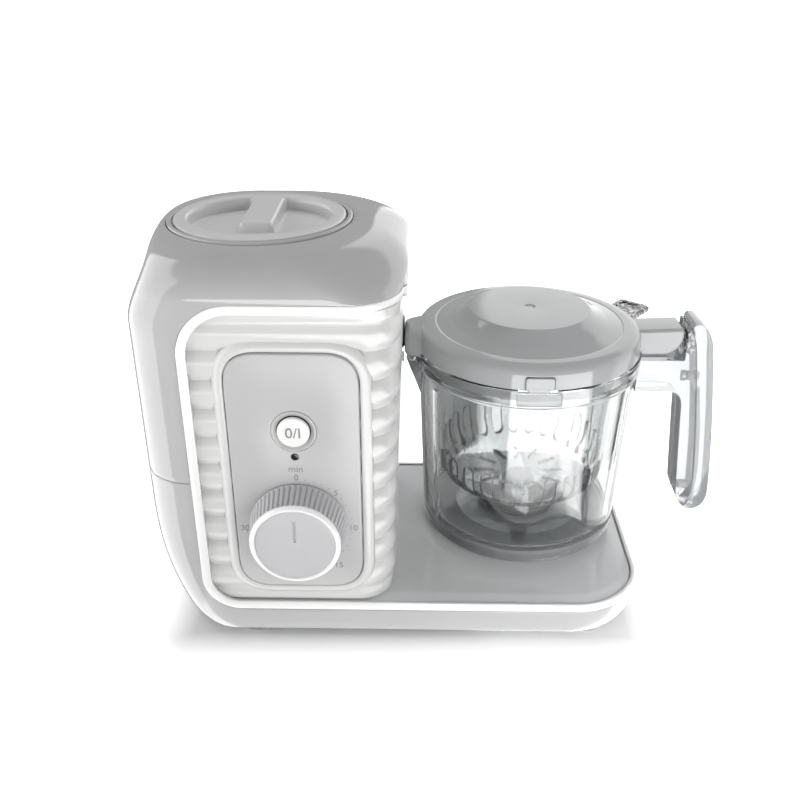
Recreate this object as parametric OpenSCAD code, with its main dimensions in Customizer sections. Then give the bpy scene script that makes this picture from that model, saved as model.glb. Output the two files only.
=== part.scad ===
// Baby food maker: a steamer and blender on one base. A tower on the left holds the water
// tank, boiler, motor and controls, and a clear jar with a steam basket stands on the deck.
// Every module is drawn in the jar's frame: its origin is on the jar's axis at the deck's
// top, +X towards the handle, +Y towards the back. place() moves that frame so that the
// whole object stands on Z = 0 with its bounding box centred on X = 0, Y = 0.

/* [Tower] */
// Width of the tower, from its left face to the cap's right side
tower_w = 123.5; // [116:0.5:126]
// Depth of the tower and of the base
tower_d = 131.5; // [126:0.5:140]
// Corner radius of the left corners, seen from above
tower_corner_r = 25; // [20:1:30]
// Corner radius of the column's right corners, seen from above
column_corner_r = 18; // [12:1:24]
// Height of the white window's top edge above the deck
window_h = 152; // [146:1:158]
// Height of the grey cap over the white window
cap_h = 19; // [16:0.5:26]
// Width of the grey band left of the white window
band_w = 24.5; // [22:0.5:28]
// Height of the seam between the lower shell and the upper cover
seam_h = 66; // [50:1:76]
// Wall thickness of the moulded shells
wall = 2.4; // [1.8:0.1:3]
// Gap between shells that meet without a fastener
shell_gap = 0.3; // [0.2:0.05:0.5]

/* [Column ribs] */
// Distance between two rib crests
rib_pitch = 13.9; // [11:0.1:17]
// Height of a rib crest over its valley
rib_depth = 2.4; // [1:0.1:3]
// Setback of the column behind the trim strip
column_inset = 2.5; // [1.8:0.1:3.5]

/* [Base] */
// Height of the deck above the table
deck_h = 24; // [23:0.5:30]
// Reach of the base's right end past the jar's wall
base_margin = 0.8; // [0:0.1:5]
// Corner radius of the base's right corners
base_corner_r = 34; // [24:1:38]
// Thickness of the deck plate
deck_t = 3; // [2.5:0.5:4]
// Height of the white trim strip
trim_h = 4.5; // [4:0.5:6]
// Thickness of the white trim strip
trim_t = 1.8; // [1.4:0.1:2.2]
// Height of the rubber feet under the shell
foot_h = 5.5; // [4:0.5:7]
// Radius of the rubber feet
foot_r = 8; // [6:0.5:9]

/* [Control panel] */
// Width of the control panel
panel_w = 58; // [54:1:62]
// Height of the control panel
panel_h = 121; // [112:1:124]
// Thickness that the panel stands proud of the column
panel_t = 2.6; // [2:0.2:4]
// Radius of the timer dial at its foot
dial_r = 22.5; // [19:0.5:23.5]
// Depth of the timer dial
dial_depth = 16; // [12:0.5:18]
// Number of grip ridges round the dial
dial_ridges = 48; // [32:4:72]
// Radius of the power button
button_r = 7.2; // [6:0.2:8]
// Travel of the power button
button_travel = 2; // [1.5:0.1:2.2]

/* [Water tank] */
// Radius of the tank's lid
tank_lid_r = 39.6; // [36:0.2:40.4]
// Depth of the finger recess in the tank's lid
grip_depth = 12; // [9:0.5:13]
// Width of the grip bar inside the recess
grip_w = 15; // [10:0.5:18]
// Clearance between the motor's shaft end and the water tank's floor
tank_clear = 6; // [2:0.5:20]

/* [Jar] */
// Gap between the jar's rim and the side of the grey cap
jar_gap = 1.8; // [1.4:0.1:5]
// Overhang of the jar's rim over the back of the base
rim_overhang = 6.7; // [3:0.1:8]
// How much smaller the jar's radius is at its foot than at its top
jar_taper = 3.4; // [1.5:0.1:4]
// Outer radius of the jar under its rim
jar_top_r = 54.7; // [54:0.1:55.3]
// Height of the jar up to the rim's foot
jar_h = 93; // [86:1:94]
// Height of the jar's rim
rim_h = 8; // [7.5:0.5:9]
// Height of the jar's floor above the deck
jar_floor_h = 8; // [7.5:0.5:9]
// Wall thickness of the jar
jar_wall = 2.5; // [2:0.1:2.8]

/* [Handle] */
// Thickness of the handle at its widest, from its inner to its outer face
handle_t = 22.1; // [20.5:0.1:26]
// Width of the handle, front to back
handle_w = 20; // [16:1:24]
// Clear width between the jar and the grip
finger_gap = 23; // [20:0.5:24]
// Thickness of the handle's outer cover
cover_t = 8.5; // [6:0.5:9.5]

/* [Jar lid] */
// Height of the lid's skirt
skirt_h = 11; // [10.5:0.5:12]
// Radius of the raised disc on the lid
lid_disc_r = 29.8; // [26:0.2:32]
// Height of the raised disc over the shoulder
lid_disc_h = 8; // [6:0.5:9]
// Radius of the steam port
steam_r = 5; // [4:0.2:5.4]

/* [Steam basket] */
// Gap between the jar's wall and the basket at its top
basket_gap = 5.7; // [5.2:0.1:8]
// Height of the basket's floor above the deck
basket_floor = 24; // [23.5:0.5:28]
// Wall thickness of the basket
basket_wall = 1.8; // [1.5:0.1:2]
// Number of slots round the basket
basket_slots = 26; // [16:2:28]

/* [Drive] */
// Radius of the motor's can
motor_r = 24; // [20:0.5:25]
// Radius of the motor's pulley
motor_pulley_r = 8; // [7:0.5:10]
// Radius of the driven pulley
driven_pulley_r = 20; // [16:0.5:24]
// Running clearance between a shaft and its bearing
run_clear = 0.05; // [0.02:0.01:0.1]
// Reach of the blades from their axis
blade_reach = 31; // [26:0.5:33]

/* [Hidden] */
$fn = 72;

// Main planes of the tower and the base, in the jar's frame
rim_lip = 2;
rim_r = jar_top_r + rim_lip;
cap_x = -rim_r - jar_gap;
left_x = cap_x - tower_w;
base_right = jar_top_r + base_margin;
back_y = rim_r - rim_overhang;
front_y = back_y - tower_d;
mid_y = (front_y + back_y) / 2;
shell_z = foot_h - deck_h;
window_x = left_x + band_w;
trim_top = -0.5;
window_z = trim_top - trim_h;
window_top_r = 24;
window_foot_r = 18;
trim_w = trim_h;

// Cap: where its edges start to roll over, and how far they roll in
tower_h = window_h + cap_h;
cap_z = tower_h - 1;
edge_roll = 21;
side_roll = 24;
left_roll = 8.6;
left_roll_z = window_h - 14;
top_r = (tower_d - 2 * edge_roll) / 2 - 0.5;

// Column
column_y = front_y + column_inset;
column_back = back_y - column_inset;
column_top = window_h - trim_w;
column_foot_x = cap_x - 8.5;
column_head_x = cap_x - 4.5;
column_left = window_x + trim_w;
crest_z = 26;
rib_fade = 8;

// Controls
panel_x = window_x + 48;
panel_z = 70;
panel_y = column_y - panel_t;
panel_r = 14;
dial_z = 44.5;
dial_gap = 0.5;
dial_front_r = dial_r - 2.2;
face_r = dial_front_r - 2.3;
shaft_r = 3;
button_z = 93.5;
bezel_r = 10;
stem_r = 2.5;
stem_l = 8;
lamp_z = 80.8;
lamp_r = 1.9;
timer_front = panel_y + panel_t + 2;
timer_depth = 25;
timer_back = timer_front + timer_depth;
switch_front = panel_y + panel_t + 2;
switch_depth = 15;

// Water tank
collar_r = tank_lid_r + 0.8;
collar_out = collar_r + 2.2;
collar_z = cap_z - 4.7;
collar_ledge = 2.4;
tank_x = left_x + left_roll + top_r + 0.5;
tank_y = mid_y;
plug_r = tank_lid_r - 2.6;
recess_r = plug_r - 3.2;
recess_squash = 0.88;
bar_reach = 15.5;
bar_r = 3;
neck_r = plug_r + 0.8;
neck_z = cap_z - 14;
lid_top = tower_h + 0.5;
lid_flange = lid_top - collar_z - collar_ledge - 0.3;
tank_wall = 2;
seal_z = neck_z + 4;

// Jar and lid
jar_foot_r = jar_top_r - jar_taper;
rim_in = rim_r - jar_wall;
rim_z = jar_h + rim_h;
foot_ring_r = jar_foot_r - 2.3;
basket_top_r = jar_top_r - jar_wall - basket_gap;
lid_z = rim_z + 0.3;
shoulder_z = lid_z + skirt_h;
disc_z = shoulder_z + lid_disc_h;
lid_r = rim_r - 0.7;
lid_wall = 2.2;
lid_plug_r = rim_in - 2.2;
port_z = lid_z + 5.7;
port_half = 14;
port_reach = rim_r + 5.3;
arm_half = 9;
arm_z = jar_h + 5;
arm_top = shoulder_z + 0.2;
arm_r = 9;
tab_r = rim_r + 13.5;
tab_w = 18;
tab_l = 22;
tab_t = 3;

// Handle
grip_in = jar_top_r + finger_gap + 1.8;
handle_reach = grip_in + handle_t;
arm_reach = grip_in - 2.6;
grip_low = 6;
grip_foot = grip_low + 2.5;
handle_top = shoulder_z + 7.2;
grip_top = handle_top - 3;
bow_z = 25;
handle_arm_z = jar_h - 15;

// Drive
motor_x = window_x + 61.5;
motor_y = 16;
motor_z = 8;
motor_len = 60;
rotor_shaft_r = 2.5;
rotor_top = motor_z + motor_len + 2;
tank_floor_z = rotor_top + tank_clear + tank_wall;
belt_z = shell_z + 6;
belt_w = 6;
belt_t = 1.5;
spindle_r = 4;
bush_r = 7;
seat_r = foot_ring_r - jar_wall - 1;
seat_h = 4;
dog_z = 0.8;
dog_h = 2.6;
blade_shaft_r = 3;
hub_z = jar_floor_h + 2.5;
hub_h = 12;
hub_r = 9;
blade_t = 1.2;
blade_z = hub_z + 5;

// Boiler and tubes
boiler_x = window_x + 14.5;
boiler_y = column_back - 25.5;
boiler_r = 17;
boiler_z = 3;
boiler_h = 31;
tube_r = 4;
tube_y = boiler_y + 10;
feed_y = boiler_y - 10;
outlet_x = column_head_x - 7;
outlet_r = 9;
switch_w = 12;
switch_h = 8;
switch_z = port_z - 22;

// Rear
rear_x0 = window_x + 12;
rear_x1 = column_foot_x - 8;
rear_z0 = 8;
rear_z1 = column_top - 10;
rear_t = 2.8;
gland_x = rear_x0 + 14;
gland_z = 22;
gland_out = 5;
cord_r = 3.6;
screw_r = 1.6;
screw_head_r = 3.2;

// Bounding box of the whole object, used to centre it
x_min = left_x;
x_max = handle_reach;
y_min = panel_y - dial_gap - dial_depth;
y_max = max(back_y + gland_out, rim_r);

foot_places = [[window_x + 23, front_y + 13], [base_right - 26, front_y + 15],
               [window_x + 23, back_y - 13], [base_right - 26, back_y - 15]];
screw_places = [[window_x + 40, front_y + 12], [base_right - 12, mid_y],
                [window_x + 40, back_y - 12], [window_x - 4, mid_y]];
rear_screw_places = [for (x = [rear_x0 + 6, rear_x1 - 6], z = [rear_z0 + 6, rear_z1 - 6]) [x, z]];
handle_screw_heights = [20, handle_arm_z + 7];

// ---- Helpers ----

module place() {
    translate([-(x_min + x_max) / 2, -(y_min + y_max) / 2, deck_h]) children();
}

module box(x0, x1, y0, y1, z0, z1) {
    translate([x0, y0, z0]) cube([x1 - x0, y1 - y0, z1 - z0]);
}

// Cylinder from z0 to z1 on the vertical axis through (x, y)
module rod(x, y, r, z0, z1) {
    translate([x, y, z0]) cylinder(r = r, h = z1 - z0);
}

// Cylinder from y0 to y1 on the axis along Y through (x, z)
module rod_y(x, z, r, y0, y1) {
    translate([x, y0, z]) rotate([-90, 0, 0]) cylinder(r = r, h = y1 - y0);
}

// Tube from z0 to z1 on the jar's axis
module tube(r_in, r_out, z0, z1) {
    rotate_extrude() translate([r_in, z0]) square([r_out - r_in, z1 - z0]);
}

// Turns a revolved profile so that its own axis points along -Y, out of the front
module facing_front(x, z, y) {
    translate([x, y, z]) rotate([90, 0, 0]) children();
}

function smooth(t) = let (u = min(1, max(0, t))) u * u * (3 - 2 * u);
function roll(t) = let (u = min(1, max(0, t))) 1 - sqrt(1 - u * u);

// Plan outline of a rounded box, with one radius for its left and one for its right corners
function outline(x0, x1, y0, y1, r_left, r_right, steps = 8) = [
    for (c = [[x1 - r_right, y1 - r_right, 0, r_right], [x0 + r_left, y1 - r_left, 90, r_left],
              [x0 + r_left, y0 + r_left, 180, r_left], [x1 - r_right, y0 + r_right, 270, r_right]])
        for (i = [0:steps])
            let (a = c[2] + 90 * i / steps)
                [c[0] + c[3] * cos(a), c[1] + c[3] * sin(a)]
];

// Solid through plan outlines of equal length, one at each height
module loft(outlines, heights) {
    n = len(outlines[0]);
    last = len(outlines) - 1;
    points = [for (i = [0:last]) for (p = outlines[i]) [p[0], p[1], heights[i]]];
    sides = [for (i = [0:last - 1]) for (j = [0:n - 1])
        let (k = (j + 1) % n) [i * n + j, (i + 1) * n + j, (i + 1) * n + k, i * n + k]];
    foot = [for (j = [0:n - 1]) j];
    head = [for (j = [n - 1:-1:0]) last * n + j];
    polyhedron(points = points, faces = concat([foot, head], sides));
}

// ---- Outer form of the tower and the base, as functions of height ----

function tower_left(z) =
    left_x + 15 * pow(min(1, max(0, (50 - z) / (50 - shell_z))), 2.4)
    + left_roll * smooth((z - left_roll_z) / (cap_z - 5 - left_roll_z));
function edge_in(z) = edge_roll * roll((z - window_h) / (cap_z - window_h))
    + 2 * pow(min(1, max(0, (shell_z + 10 - z) / 10)), 2);
function tower_right(z) = cap_x - 2.6 * roll((window_h + 8 - z) / 8)
    - side_roll * roll((z - window_h - 3) / (cap_z - window_h - 3));
function base_end(z) = base_right - 3 * pow(min(1, max(0, (shell_z + 10 - z) / 10)), 2);
function cap_r(z) = (z < window_h) ? 0
    : (top_r - tower_corner_r) * roll((z - window_h) / (cap_z - window_h));

function cap_corner_r(z) = column_corner_r
    + (top_r - column_corner_r) * smooth((z - window_h + 6) / (cap_z - window_h));

// Tower outline at height z, pulled in by t
function tower_outline(z, t) = outline(tower_left(z) + t, tower_right(z) - t,
    front_y + edge_in(z) + t, back_y - edge_in(z) - t,
    tower_corner_r + cap_r(z) - t, cap_corner_r(z) - t);
function base_outline(z, t) = outline(tower_left(z) + t, base_end(z) - t,
    front_y + edge_in(z) + t, back_y - edge_in(z) - t, tower_corner_r - t, base_corner_r - t);

module tower_form(heights, t) {
    loft([for (z = heights) tower_outline(z, t)], heights);
}

module base_form(heights, t) {
    loft([for (z = heights) base_outline(z, t)], heights);
}

// The white window in the grey tower, cut through from front to back and open to the right
module window(inset) {
    x0 = window_x + inset;
    z0 = window_z + inset;
    z1 = window_h - inset;
    r_top = window_top_r - inset;
    r_foot = window_foot_r - inset;
    x1 = base_right + 60;
    translate([0, back_y + 1, 0]) rotate([90, 0, 0]) linear_extrude(tower_d + 2) {
        translate([x0 + r_top, z1 - r_top]) circle(r_top);
        translate([x0 + r_foot, z0 + r_foot]) circle(r_foot);
        translate([x0 + r_top, z0 + r_foot]) square([x1 - x0 - r_top, z1 - z0 - r_foot]);
        translate([x0, z0 + r_foot]) square([r_top + 1, z1 - z0 - r_foot - r_top]);
        translate([x0 + r_foot, z0]) square([x1 - x0 - r_foot, r_foot + 1]);
    }
}

// ---- Housing: shells ----

module lower_shell() color("gainsboro") place() {
    band = [window_z, 8, 20, 32, 50, seam_h - shell_gap];
    tray = [shell_z, shell_z + 2.5, shell_z + 5, shell_z + 8, window_z];
    difference() {
        union() {
            difference() {
                tower_form(band, 0);
                window(0);
            }
            base_form(tray, 0);
        }
        tower_form(concat([window_z - 1], [for (i = [1:len(band) - 2]) band[i]], [seam_h + 1]), wall);
        base_form([shell_z - 1, shell_z + 5, window_z + 1], wall);
    }
}

module bottom_plate() color("silver") place() {
    inset = wall + shell_gap;
    plate_t = 2;
    difference() {
        translate([0, 0, shell_z]) linear_extrude(plate_t)
            polygon(base_outline(shell_z, inset));
        for (p = screw_places) rod(p[0], p[1], screw_r + 0.2, shell_z - 1, shell_z + plate_t + 1);
        for (i = [-4:4]) box(motor_x + 6 * i - 1.2, motor_x + 6 * i + 1.2, mid_y - 16, mid_y + 16,
            shell_z - 1, shell_z + plate_t + 1);
    }
    for (p = screw_places) difference() {
        rod(p[0], p[1], 4, shell_z + plate_t, -deck_t);
        rod(p[0], p[1], screw_r + 0.2, shell_z, -deck_t + 1);
    }
}

module rubber_feet() color("dimgray") place()
    for (p = foot_places) translate([p[0], p[1], -deck_h]) rotate_extrude()
        polygon([[0, 0], [foot_r - 1.5, 0], [foot_r, 1.5], [foot_r, foot_h], [0, foot_h]]);

module bottom_screws() color("gray") place()
    for (p = screw_places) {
        rod(p[0], p[1], screw_head_r, shell_z - 1.6, shell_z);
        rod(p[0], p[1], screw_r, shell_z, -deck_t - 1);
    }

module deck_plate() color("darkgray") place() {
    edge = trim_t + 0.2;
    shoulder = 9;
    flange_w = 12;
    heights = [-deck_t, trim_top - 0.7, trim_top - 0.2, 0];
    insets = [edge, edge, edge + 1, edge + shoulder];
    difference() {
        union() {
            intersection() {
                loft([for (i = [0:3]) base_outline(0, insets[i])], heights);
                box(window_x + trim_w, base_right + 1, front_y, back_y, -deck_t - 1, 1);
            }
            intersection() {
                loft([for (i = [0:1]) tower_outline(-deck_t, wall + 0.1)], [-deck_t, 0]);
                box(window_x - flange_w, window_x + trim_w + 1, front_y, back_y, -deck_t - 1, 1);
            }
        }
        rod(motor_x, motor_y, 12, -deck_t - 1, 1);
        rod(0, 0, bush_r, -deck_t - 1, 1);
    }
}

module jar_seat() color("dimgray") place()
    rotate_extrude() polygon([[bush_r, 0], [seat_r, 0], [seat_r, seat_h - 1.5],
        [seat_r - 1.5, seat_h], [bush_r + 12, seat_h], [bush_r + 10, 0.6], [bush_r, 0.6]]);

module upper_cover() color("gainsboro") place() {
    heights = [seam_h, 110, left_roll_z, left_roll_z + 5, left_roll_z + 10, window_h, window_h + 4,
        window_h + 7, window_h + 10, window_h + 12.5, cap_z - 3, cap_z - 1.4, cap_z - 0.5, cap_z];
    inner = [seam_h - 1, 110, left_roll_z, window_h - 2, window_h + 4, window_h + 9,
        window_h + 12.5, cap_z - wall];
    difference() {
        tower_form(heights, 0);
        tower_form(inner, wall);
        window(0);
        rod(tank_x, tank_y, collar_out + 0.1, collar_z - 0.1, cap_z + 2);
        rod(tank_x, tank_y, neck_r + tank_wall + 0.1, neck_z, cap_z);
    }
}

// Outward offset of the ribbed column at height z: broad round lobes and narrow valleys
function lobe(turn) = 0.4 - pow(abs(2 * (turn - round(turn))), 1.9);
function rib(z) = rib_depth * lobe((z - crest_z) / rib_pitch)
    * smooth(z / rib_fade) * smooth((column_top - z) / rib_fade);
function column_x(z) = column_foot_x + (column_head_x - column_foot_x) * z / column_top;

module column_cover() color("whitesmoke") place() {
    count = floor(column_top / rib_pitch * 6);
    heights = [for (i = [0:count]) column_top * i / count];
    inner_t = wall + rib_depth / 4;
    port_gap = 0.1;
    difference() {
        intersection() {
            loft([for (z = heights) outline(column_left + 0.2, column_x(z) + rib(z),
                column_y - rib(z), column_back + rib(z), 1, column_corner_r - 2 + rib(z), 7)],
                heights);
            window(trim_w + 0.1);
        }
        loft([for (z = [-1, column_top + 1]) outline(column_left - 5, column_x(z) - inner_t,
            column_y + inner_t, column_back - inner_t, 1, column_corner_r - 2 - inner_t, 7)],
            [-1, column_top + 1]);
        panel_slab(shell_gap, column_y - 4, column_y + inner_t + 1);
        box(rear_x0 - shell_gap, rear_x1 + shell_gap, column_back - inner_t - 1, back_y + 2,
            rear_z0 - shell_gap, rear_z1 + shell_gap);
        translate([outlet_x, 0, port_z]) rotate([0, 90, 0])
            cylinder(r = outlet_r + port_gap, h = 20);
        box(outlet_x, cap_x, -switch_w / 2 - port_gap, switch_w / 2 + port_gap,
            switch_z - port_gap, switch_z + switch_h + port_gap);
    }
}

module trim_strip() color("white") place() {
    heights = [8, 20, 32, 50, 110, left_roll_z, left_roll_z + 5, left_roll_z + 10];
    difference() {
        union() {
            difference() {
                base_form([window_z, trim_top], 0);
                base_form([window_z - 1, trim_top + 1], trim_t);
            }
            difference() {
                tower_form(concat([trim_top], heights, [window_h]), 0);
                tower_form(concat([trim_top - 1], heights, [window_h + 1]), trim_t);
            }
        }
        outside_window();
        window(trim_w);
    }
}

// Everything left of, above and below the window
module outside_window() difference() {
    box(left_x - 5, base_right + 50, front_y - 0.8, back_y + 0.8, shell_z - 5, tower_h);
    window(0);
}

module rear_cover() color("whitesmoke") place() difference() {
    box(rear_x0, rear_x1, column_back - rear_t + 0.6, column_back + 0.6, rear_z0, rear_z1);
    for (i = [0:9]) box(rear_x0 + 22, rear_x1 - 22, column_back - rear_t - 1, column_back + 2,
        rear_z1 - 16 - 6 * i, rear_z1 - 13.4 - 6 * i);
    for (p = rear_screw_places) rod_y(p[0], p[1], screw_r + 0.2, column_back - rear_t - 1, back_y);
    rod_y(gland_x, gland_z, cord_r + 2.4, column_back - rear_t - 1, back_y + 1);
}

module rear_screws() color("gray") place() for (p = rear_screw_places) {
    rod_y(p[0], p[1], screw_r, column_back - 8, column_back + 0.6);
    rod_y(p[0], p[1], screw_head_r, column_back + 0.6, column_back + 2);
}

module cord_gland() color("dimgray") place()
    translate([gland_x, column_back, gland_z]) rotate([-90, 0, 0]) rotate_extrude()
        polygon([[cord_r, -8], [cord_r + 2.2, -8], [cord_r + 2.2, 0.6], [cord_r + 4, 0.6],
            [cord_r + 4, 3], [cord_r + 2, column_inset + gland_out],
            [cord_r, column_inset + gland_out]]);

// ---- Housing: controls ----

// The control panel's rounded outline, grown by grow, between two planes along Y
module panel_slab(grow, y0, y1) {
    w = panel_w / 2 - panel_r;
    h = panel_h / 2 - panel_r;
    r = panel_r + grow;
    translate([panel_x, y1, panel_z]) rotate([90, 0, 0]) linear_extrude(y1 - y0) {
        for (x = [-w, w], z = [-h, h]) translate([x, z]) circle(r);
        square([2 * (w + r), 2 * h], center = true);
        square([2 * w, 2 * (h + r)], center = true);
    }
}

module control_panel() color("lightgray") place() difference() {
    panel_slab(0, panel_y, panel_y + panel_t + 2);
    rod_y(panel_x, dial_z, shaft_r + 1, panel_y - 1, panel_y + 9);
    rod_y(panel_x, button_z, bezel_r, panel_y - 1, panel_y + 9);
    rod_y(panel_x, lamp_z, lamp_r, panel_y - 1, panel_y + 9);
}

module button_bezel() color("gainsboro") place()
    facing_front(panel_x, button_z, panel_y + panel_t + 2) rotate_extrude()
        polygon([[button_r + 0.3, 0], [bezel_r, 0], [bezel_r, panel_t + 2.6],
            [bezel_r - 1.2, panel_t + 2.6], [button_r + 0.3, panel_t + 1]]);

module indicator_lens() color("black") place()
    rod_y(panel_x, lamp_z, lamp_r, panel_y - 0.4, panel_y + panel_t + 3);

module timer_unit() color("dimgray") place() difference() {
    box(panel_x - 15, panel_x + 15, timer_front, timer_back, dial_z - 15, dial_z + 15);
    rod_y(panel_x, dial_z, shaft_r + run_clear, timer_front - 3, timer_back - 6);
}

module switch_unit() color("dimgray") place() difference() {
    box(panel_x - 8, panel_x + 8, switch_front, switch_front + switch_depth,
        button_z - 7, button_z + 7);
    rod_y(panel_x, button_z, stem_r + run_clear, switch_front - 1,
        switch_front + stem_l + button_travel);
}

module circuit_board() color("darkgreen") place() {
    y = front_y + 33;
    box(window_x + 1, window_x + 29, y, y + 1.6, 0, 56);
    for (i = [0:2]) box(window_x + 5, window_x + 15, y - 6, y, 8 + 16 * i, 18 + 16 * i);
}

// ---- Housing: water and steam ----

module tank_collar() color("gainsboro") place() translate([tank_x, tank_y, 0]) rotate_extrude()
    polygon([[neck_r, collar_z], [collar_out, collar_z], [collar_out, tower_h - 1],
        [collar_out - 1, tower_h], [collar_r, tower_h], [collar_r, collar_z + collar_ledge],
        [neck_r, collar_z + collar_ledge]]);

module water_tank() color("lightblue") place() translate([tank_x, tank_y, 0]) rotate_extrude()
    polygon([[0, tank_floor_z - tank_wall], [neck_r + tank_wall - 6, tank_floor_z - tank_wall],
        [neck_r + tank_wall, tank_floor_z + 4], [neck_r + tank_wall, collar_z],
        [neck_r, collar_z], [neck_r, tank_floor_z + 5], [neck_r - 5, tank_floor_z], [0, tank_floor_z]]);

module feed_tube() color("whitesmoke") place() difference() {
    rod(boiler_x, feed_y, 3, boiler_z + boiler_h, tank_floor_z - tank_wall);
    rod(boiler_x, feed_y, 2, boiler_z + boiler_h - 1, tank_floor_z);
}

module boiler() color("silver") place() {
    rod(boiler_x, boiler_y, boiler_r, boiler_z, boiler_z + boiler_h);
    for (a = [30, 150, 270]) translate([boiler_x, boiler_y, 0]) rotate(a)
        box(boiler_r - 5, boiler_r - 1, -2, 2, 0, boiler_z + 1);
}

// Steam pipe through a list of points, with a round joint at each bend
module pipe(points, r) {
    for (i = [0:len(points) - 2]) {
        a = points[i];
        d = points[i + 1] - a;
        translate(a) rotate([0, acos(d[2] / norm(d)), atan2(d[1], d[0])])
            cylinder(r = r, h = norm(d));
    }
    for (i = [1:len(points) - 2]) translate(points[i]) sphere(r = r);
}

module steam_tube() color("whitesmoke") place() {
    z0 = boiler_z + boiler_h;
    bend_x = column_head_x - 20;
    difference() {
        pipe([[boiler_x, tube_y, z0], [boiler_x, tube_y, port_z], [bend_x, tube_y, port_z],
            [bend_x, 0, port_z], [outlet_x, 0, port_z]], tube_r);
        pipe([[boiler_x, tube_y, z0 - 1], [boiler_x, tube_y, port_z], [bend_x, tube_y, port_z],
            [bend_x, 0, port_z], [outlet_x + 1, 0, port_z]], tube_r - 1.2);
    }
}

module steam_outlet() color("silver") place() translate([outlet_x, 0, port_z])
    rotate([0, 90, 0]) rotate_extrude()
        polygon([[tube_r - 1.2, 0], [outlet_r + 2, 0], [outlet_r + 2, 2], [outlet_r, 2],
            [outlet_r, -port_reach - 1.9 - outlet_x], [tube_r - 1.2, -port_reach - 1.9 - outlet_x]]);

module outlet_gasket() color("black") place() translate([-port_reach - 1.9, 0, port_z])
    rotate([0, 90, 0]) rotate_extrude()
        polygon([[steam_r - 1, 0], [outlet_r - 0.5, 0], [outlet_r - 0.5, 0.8],
            [outlet_r - 1.5, 1.6], [steam_r - 1, 1.6]]);

module interlock_switch() color("silver") place() {
    box(column_head_x - 8, -port_reach - 0.6, -switch_w / 2, switch_w / 2,
        switch_z, switch_z + switch_h);
    box(column_head_x - 14, column_head_x - 8, -switch_w / 2 - 3, switch_w / 2 + 3,
        switch_z - 3, switch_z + switch_h + 3);
}

// ---- Housing: drive ----

module motor_can() color("silver") place() translate([motor_x, motor_y, 0]) rotate_extrude()
    polygon([[rotor_shaft_r + run_clear, motor_z], [motor_r, motor_z], [motor_r, motor_z + motor_len],
        [rotor_shaft_r + run_clear, motor_z + motor_len],
        [rotor_shaft_r + run_clear, motor_z + motor_len - 4],
        [motor_r - 1.5, motor_z + motor_len - 4], [motor_r - 1.5, motor_z + 4],
        [rotor_shaft_r + run_clear, motor_z + 4]]);

module motor_bracket() color("gray") place() translate([motor_x, motor_y, 0]) {
    difference() {
        rod(0, 0, motor_r, motor_z - 2, motor_z);
        rod(0, 0, 10, motor_z - 3, motor_z + 1);
    }
    for (a = [45:90:315]) rotate(a) rod(motor_r - 4, 0, 3, 0, motor_z - 2);
}

// Area inside a belt that runs round the two pulleys with the given gap to their rims
module belt_area(gap) hull() {
    translate([motor_x, motor_y]) circle(motor_pulley_r + gap);
    circle(driven_pulley_r + gap);
}

module drive_belt() color("black") place() translate([0, 0, belt_z]) linear_extrude(belt_w)
    difference() {
        belt_area(belt_t);
        belt_area(run_clear);
    }

module spindle_bearing() color("peru") place()
    rotate_extrude() polygon([[spindle_r + run_clear, -deck_t - 2.5], [bush_r + 3, -deck_t - 2.5],
        [bush_r + 3, -deck_t], [bush_r, -deck_t], [bush_r, 0.6], [spindle_r + run_clear, 0.6]]);

// ---- Timer dial ----

module dial_knob() color("silver") place() {
    step = 360 / dial_ridges;
    depth = dial_depth - 2;
    facing_front(panel_x, dial_z, panel_y - dial_gap) difference() {
        linear_extrude(depth, scale = dial_front_r / dial_r)
            polygon([for (i = [0:dial_ridges - 1], s = [[0, 0], [0.25, 0.7], [0.5, 0.7], [0.75, 0]])
                (dial_r - s[1]) * [cos(step * (i + s[0])), sin(step * (i + s[0]))]]);
        translate([0, 0, -1]) cylinder(r = shaft_r, h = depth + 2);
    }
}

module dial_ring() color("white") place()
    facing_front(panel_x, dial_z, panel_y - dial_gap - dial_depth + 2) rotate_extrude()
        polygon([[face_r + 0.1, 0], [dial_front_r, 0], [dial_front_r, 0.7],
            [dial_front_r - 1.3, 2], [face_r + 0.8, 2], [face_r + 0.1, 1.2]]);

module dial_face() color("lightgray") place()
    facing_front(panel_x, dial_z, panel_y - dial_gap - dial_depth + 2) difference() {
        cylinder(r = face_r, h = 1.3);
        translate([-0.6, 1.5, 0.8]) cube([1.2, face_r - 5, 2]);
    }

module dial_shaft() color("gray") place()
    rod_y(panel_x, dial_z, shaft_r, panel_y - dial_gap - dial_depth + 2, timer_back - 8);

// ---- Power button ----

module power_button() color("white") place()
    facing_front(panel_x, button_z, panel_y + 2.4) rotate_extrude()
        polygon([[0, 0], [button_r, 0], [button_r, 3.2], [button_r - 1, 4], [0, 4.3]]);

module button_stem() color("gray") place()
    rod_y(panel_x, button_z, stem_r, panel_y + 2.4, switch_front + stem_l - 0.5);

// ---- Tank lid ----

module tank_seal() color("dimgray") place() translate([tank_x, tank_y, 0]) rotate_extrude()
    translate([plug_r - 1.9, seal_z]) square([2.4, 2.4]);

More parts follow.
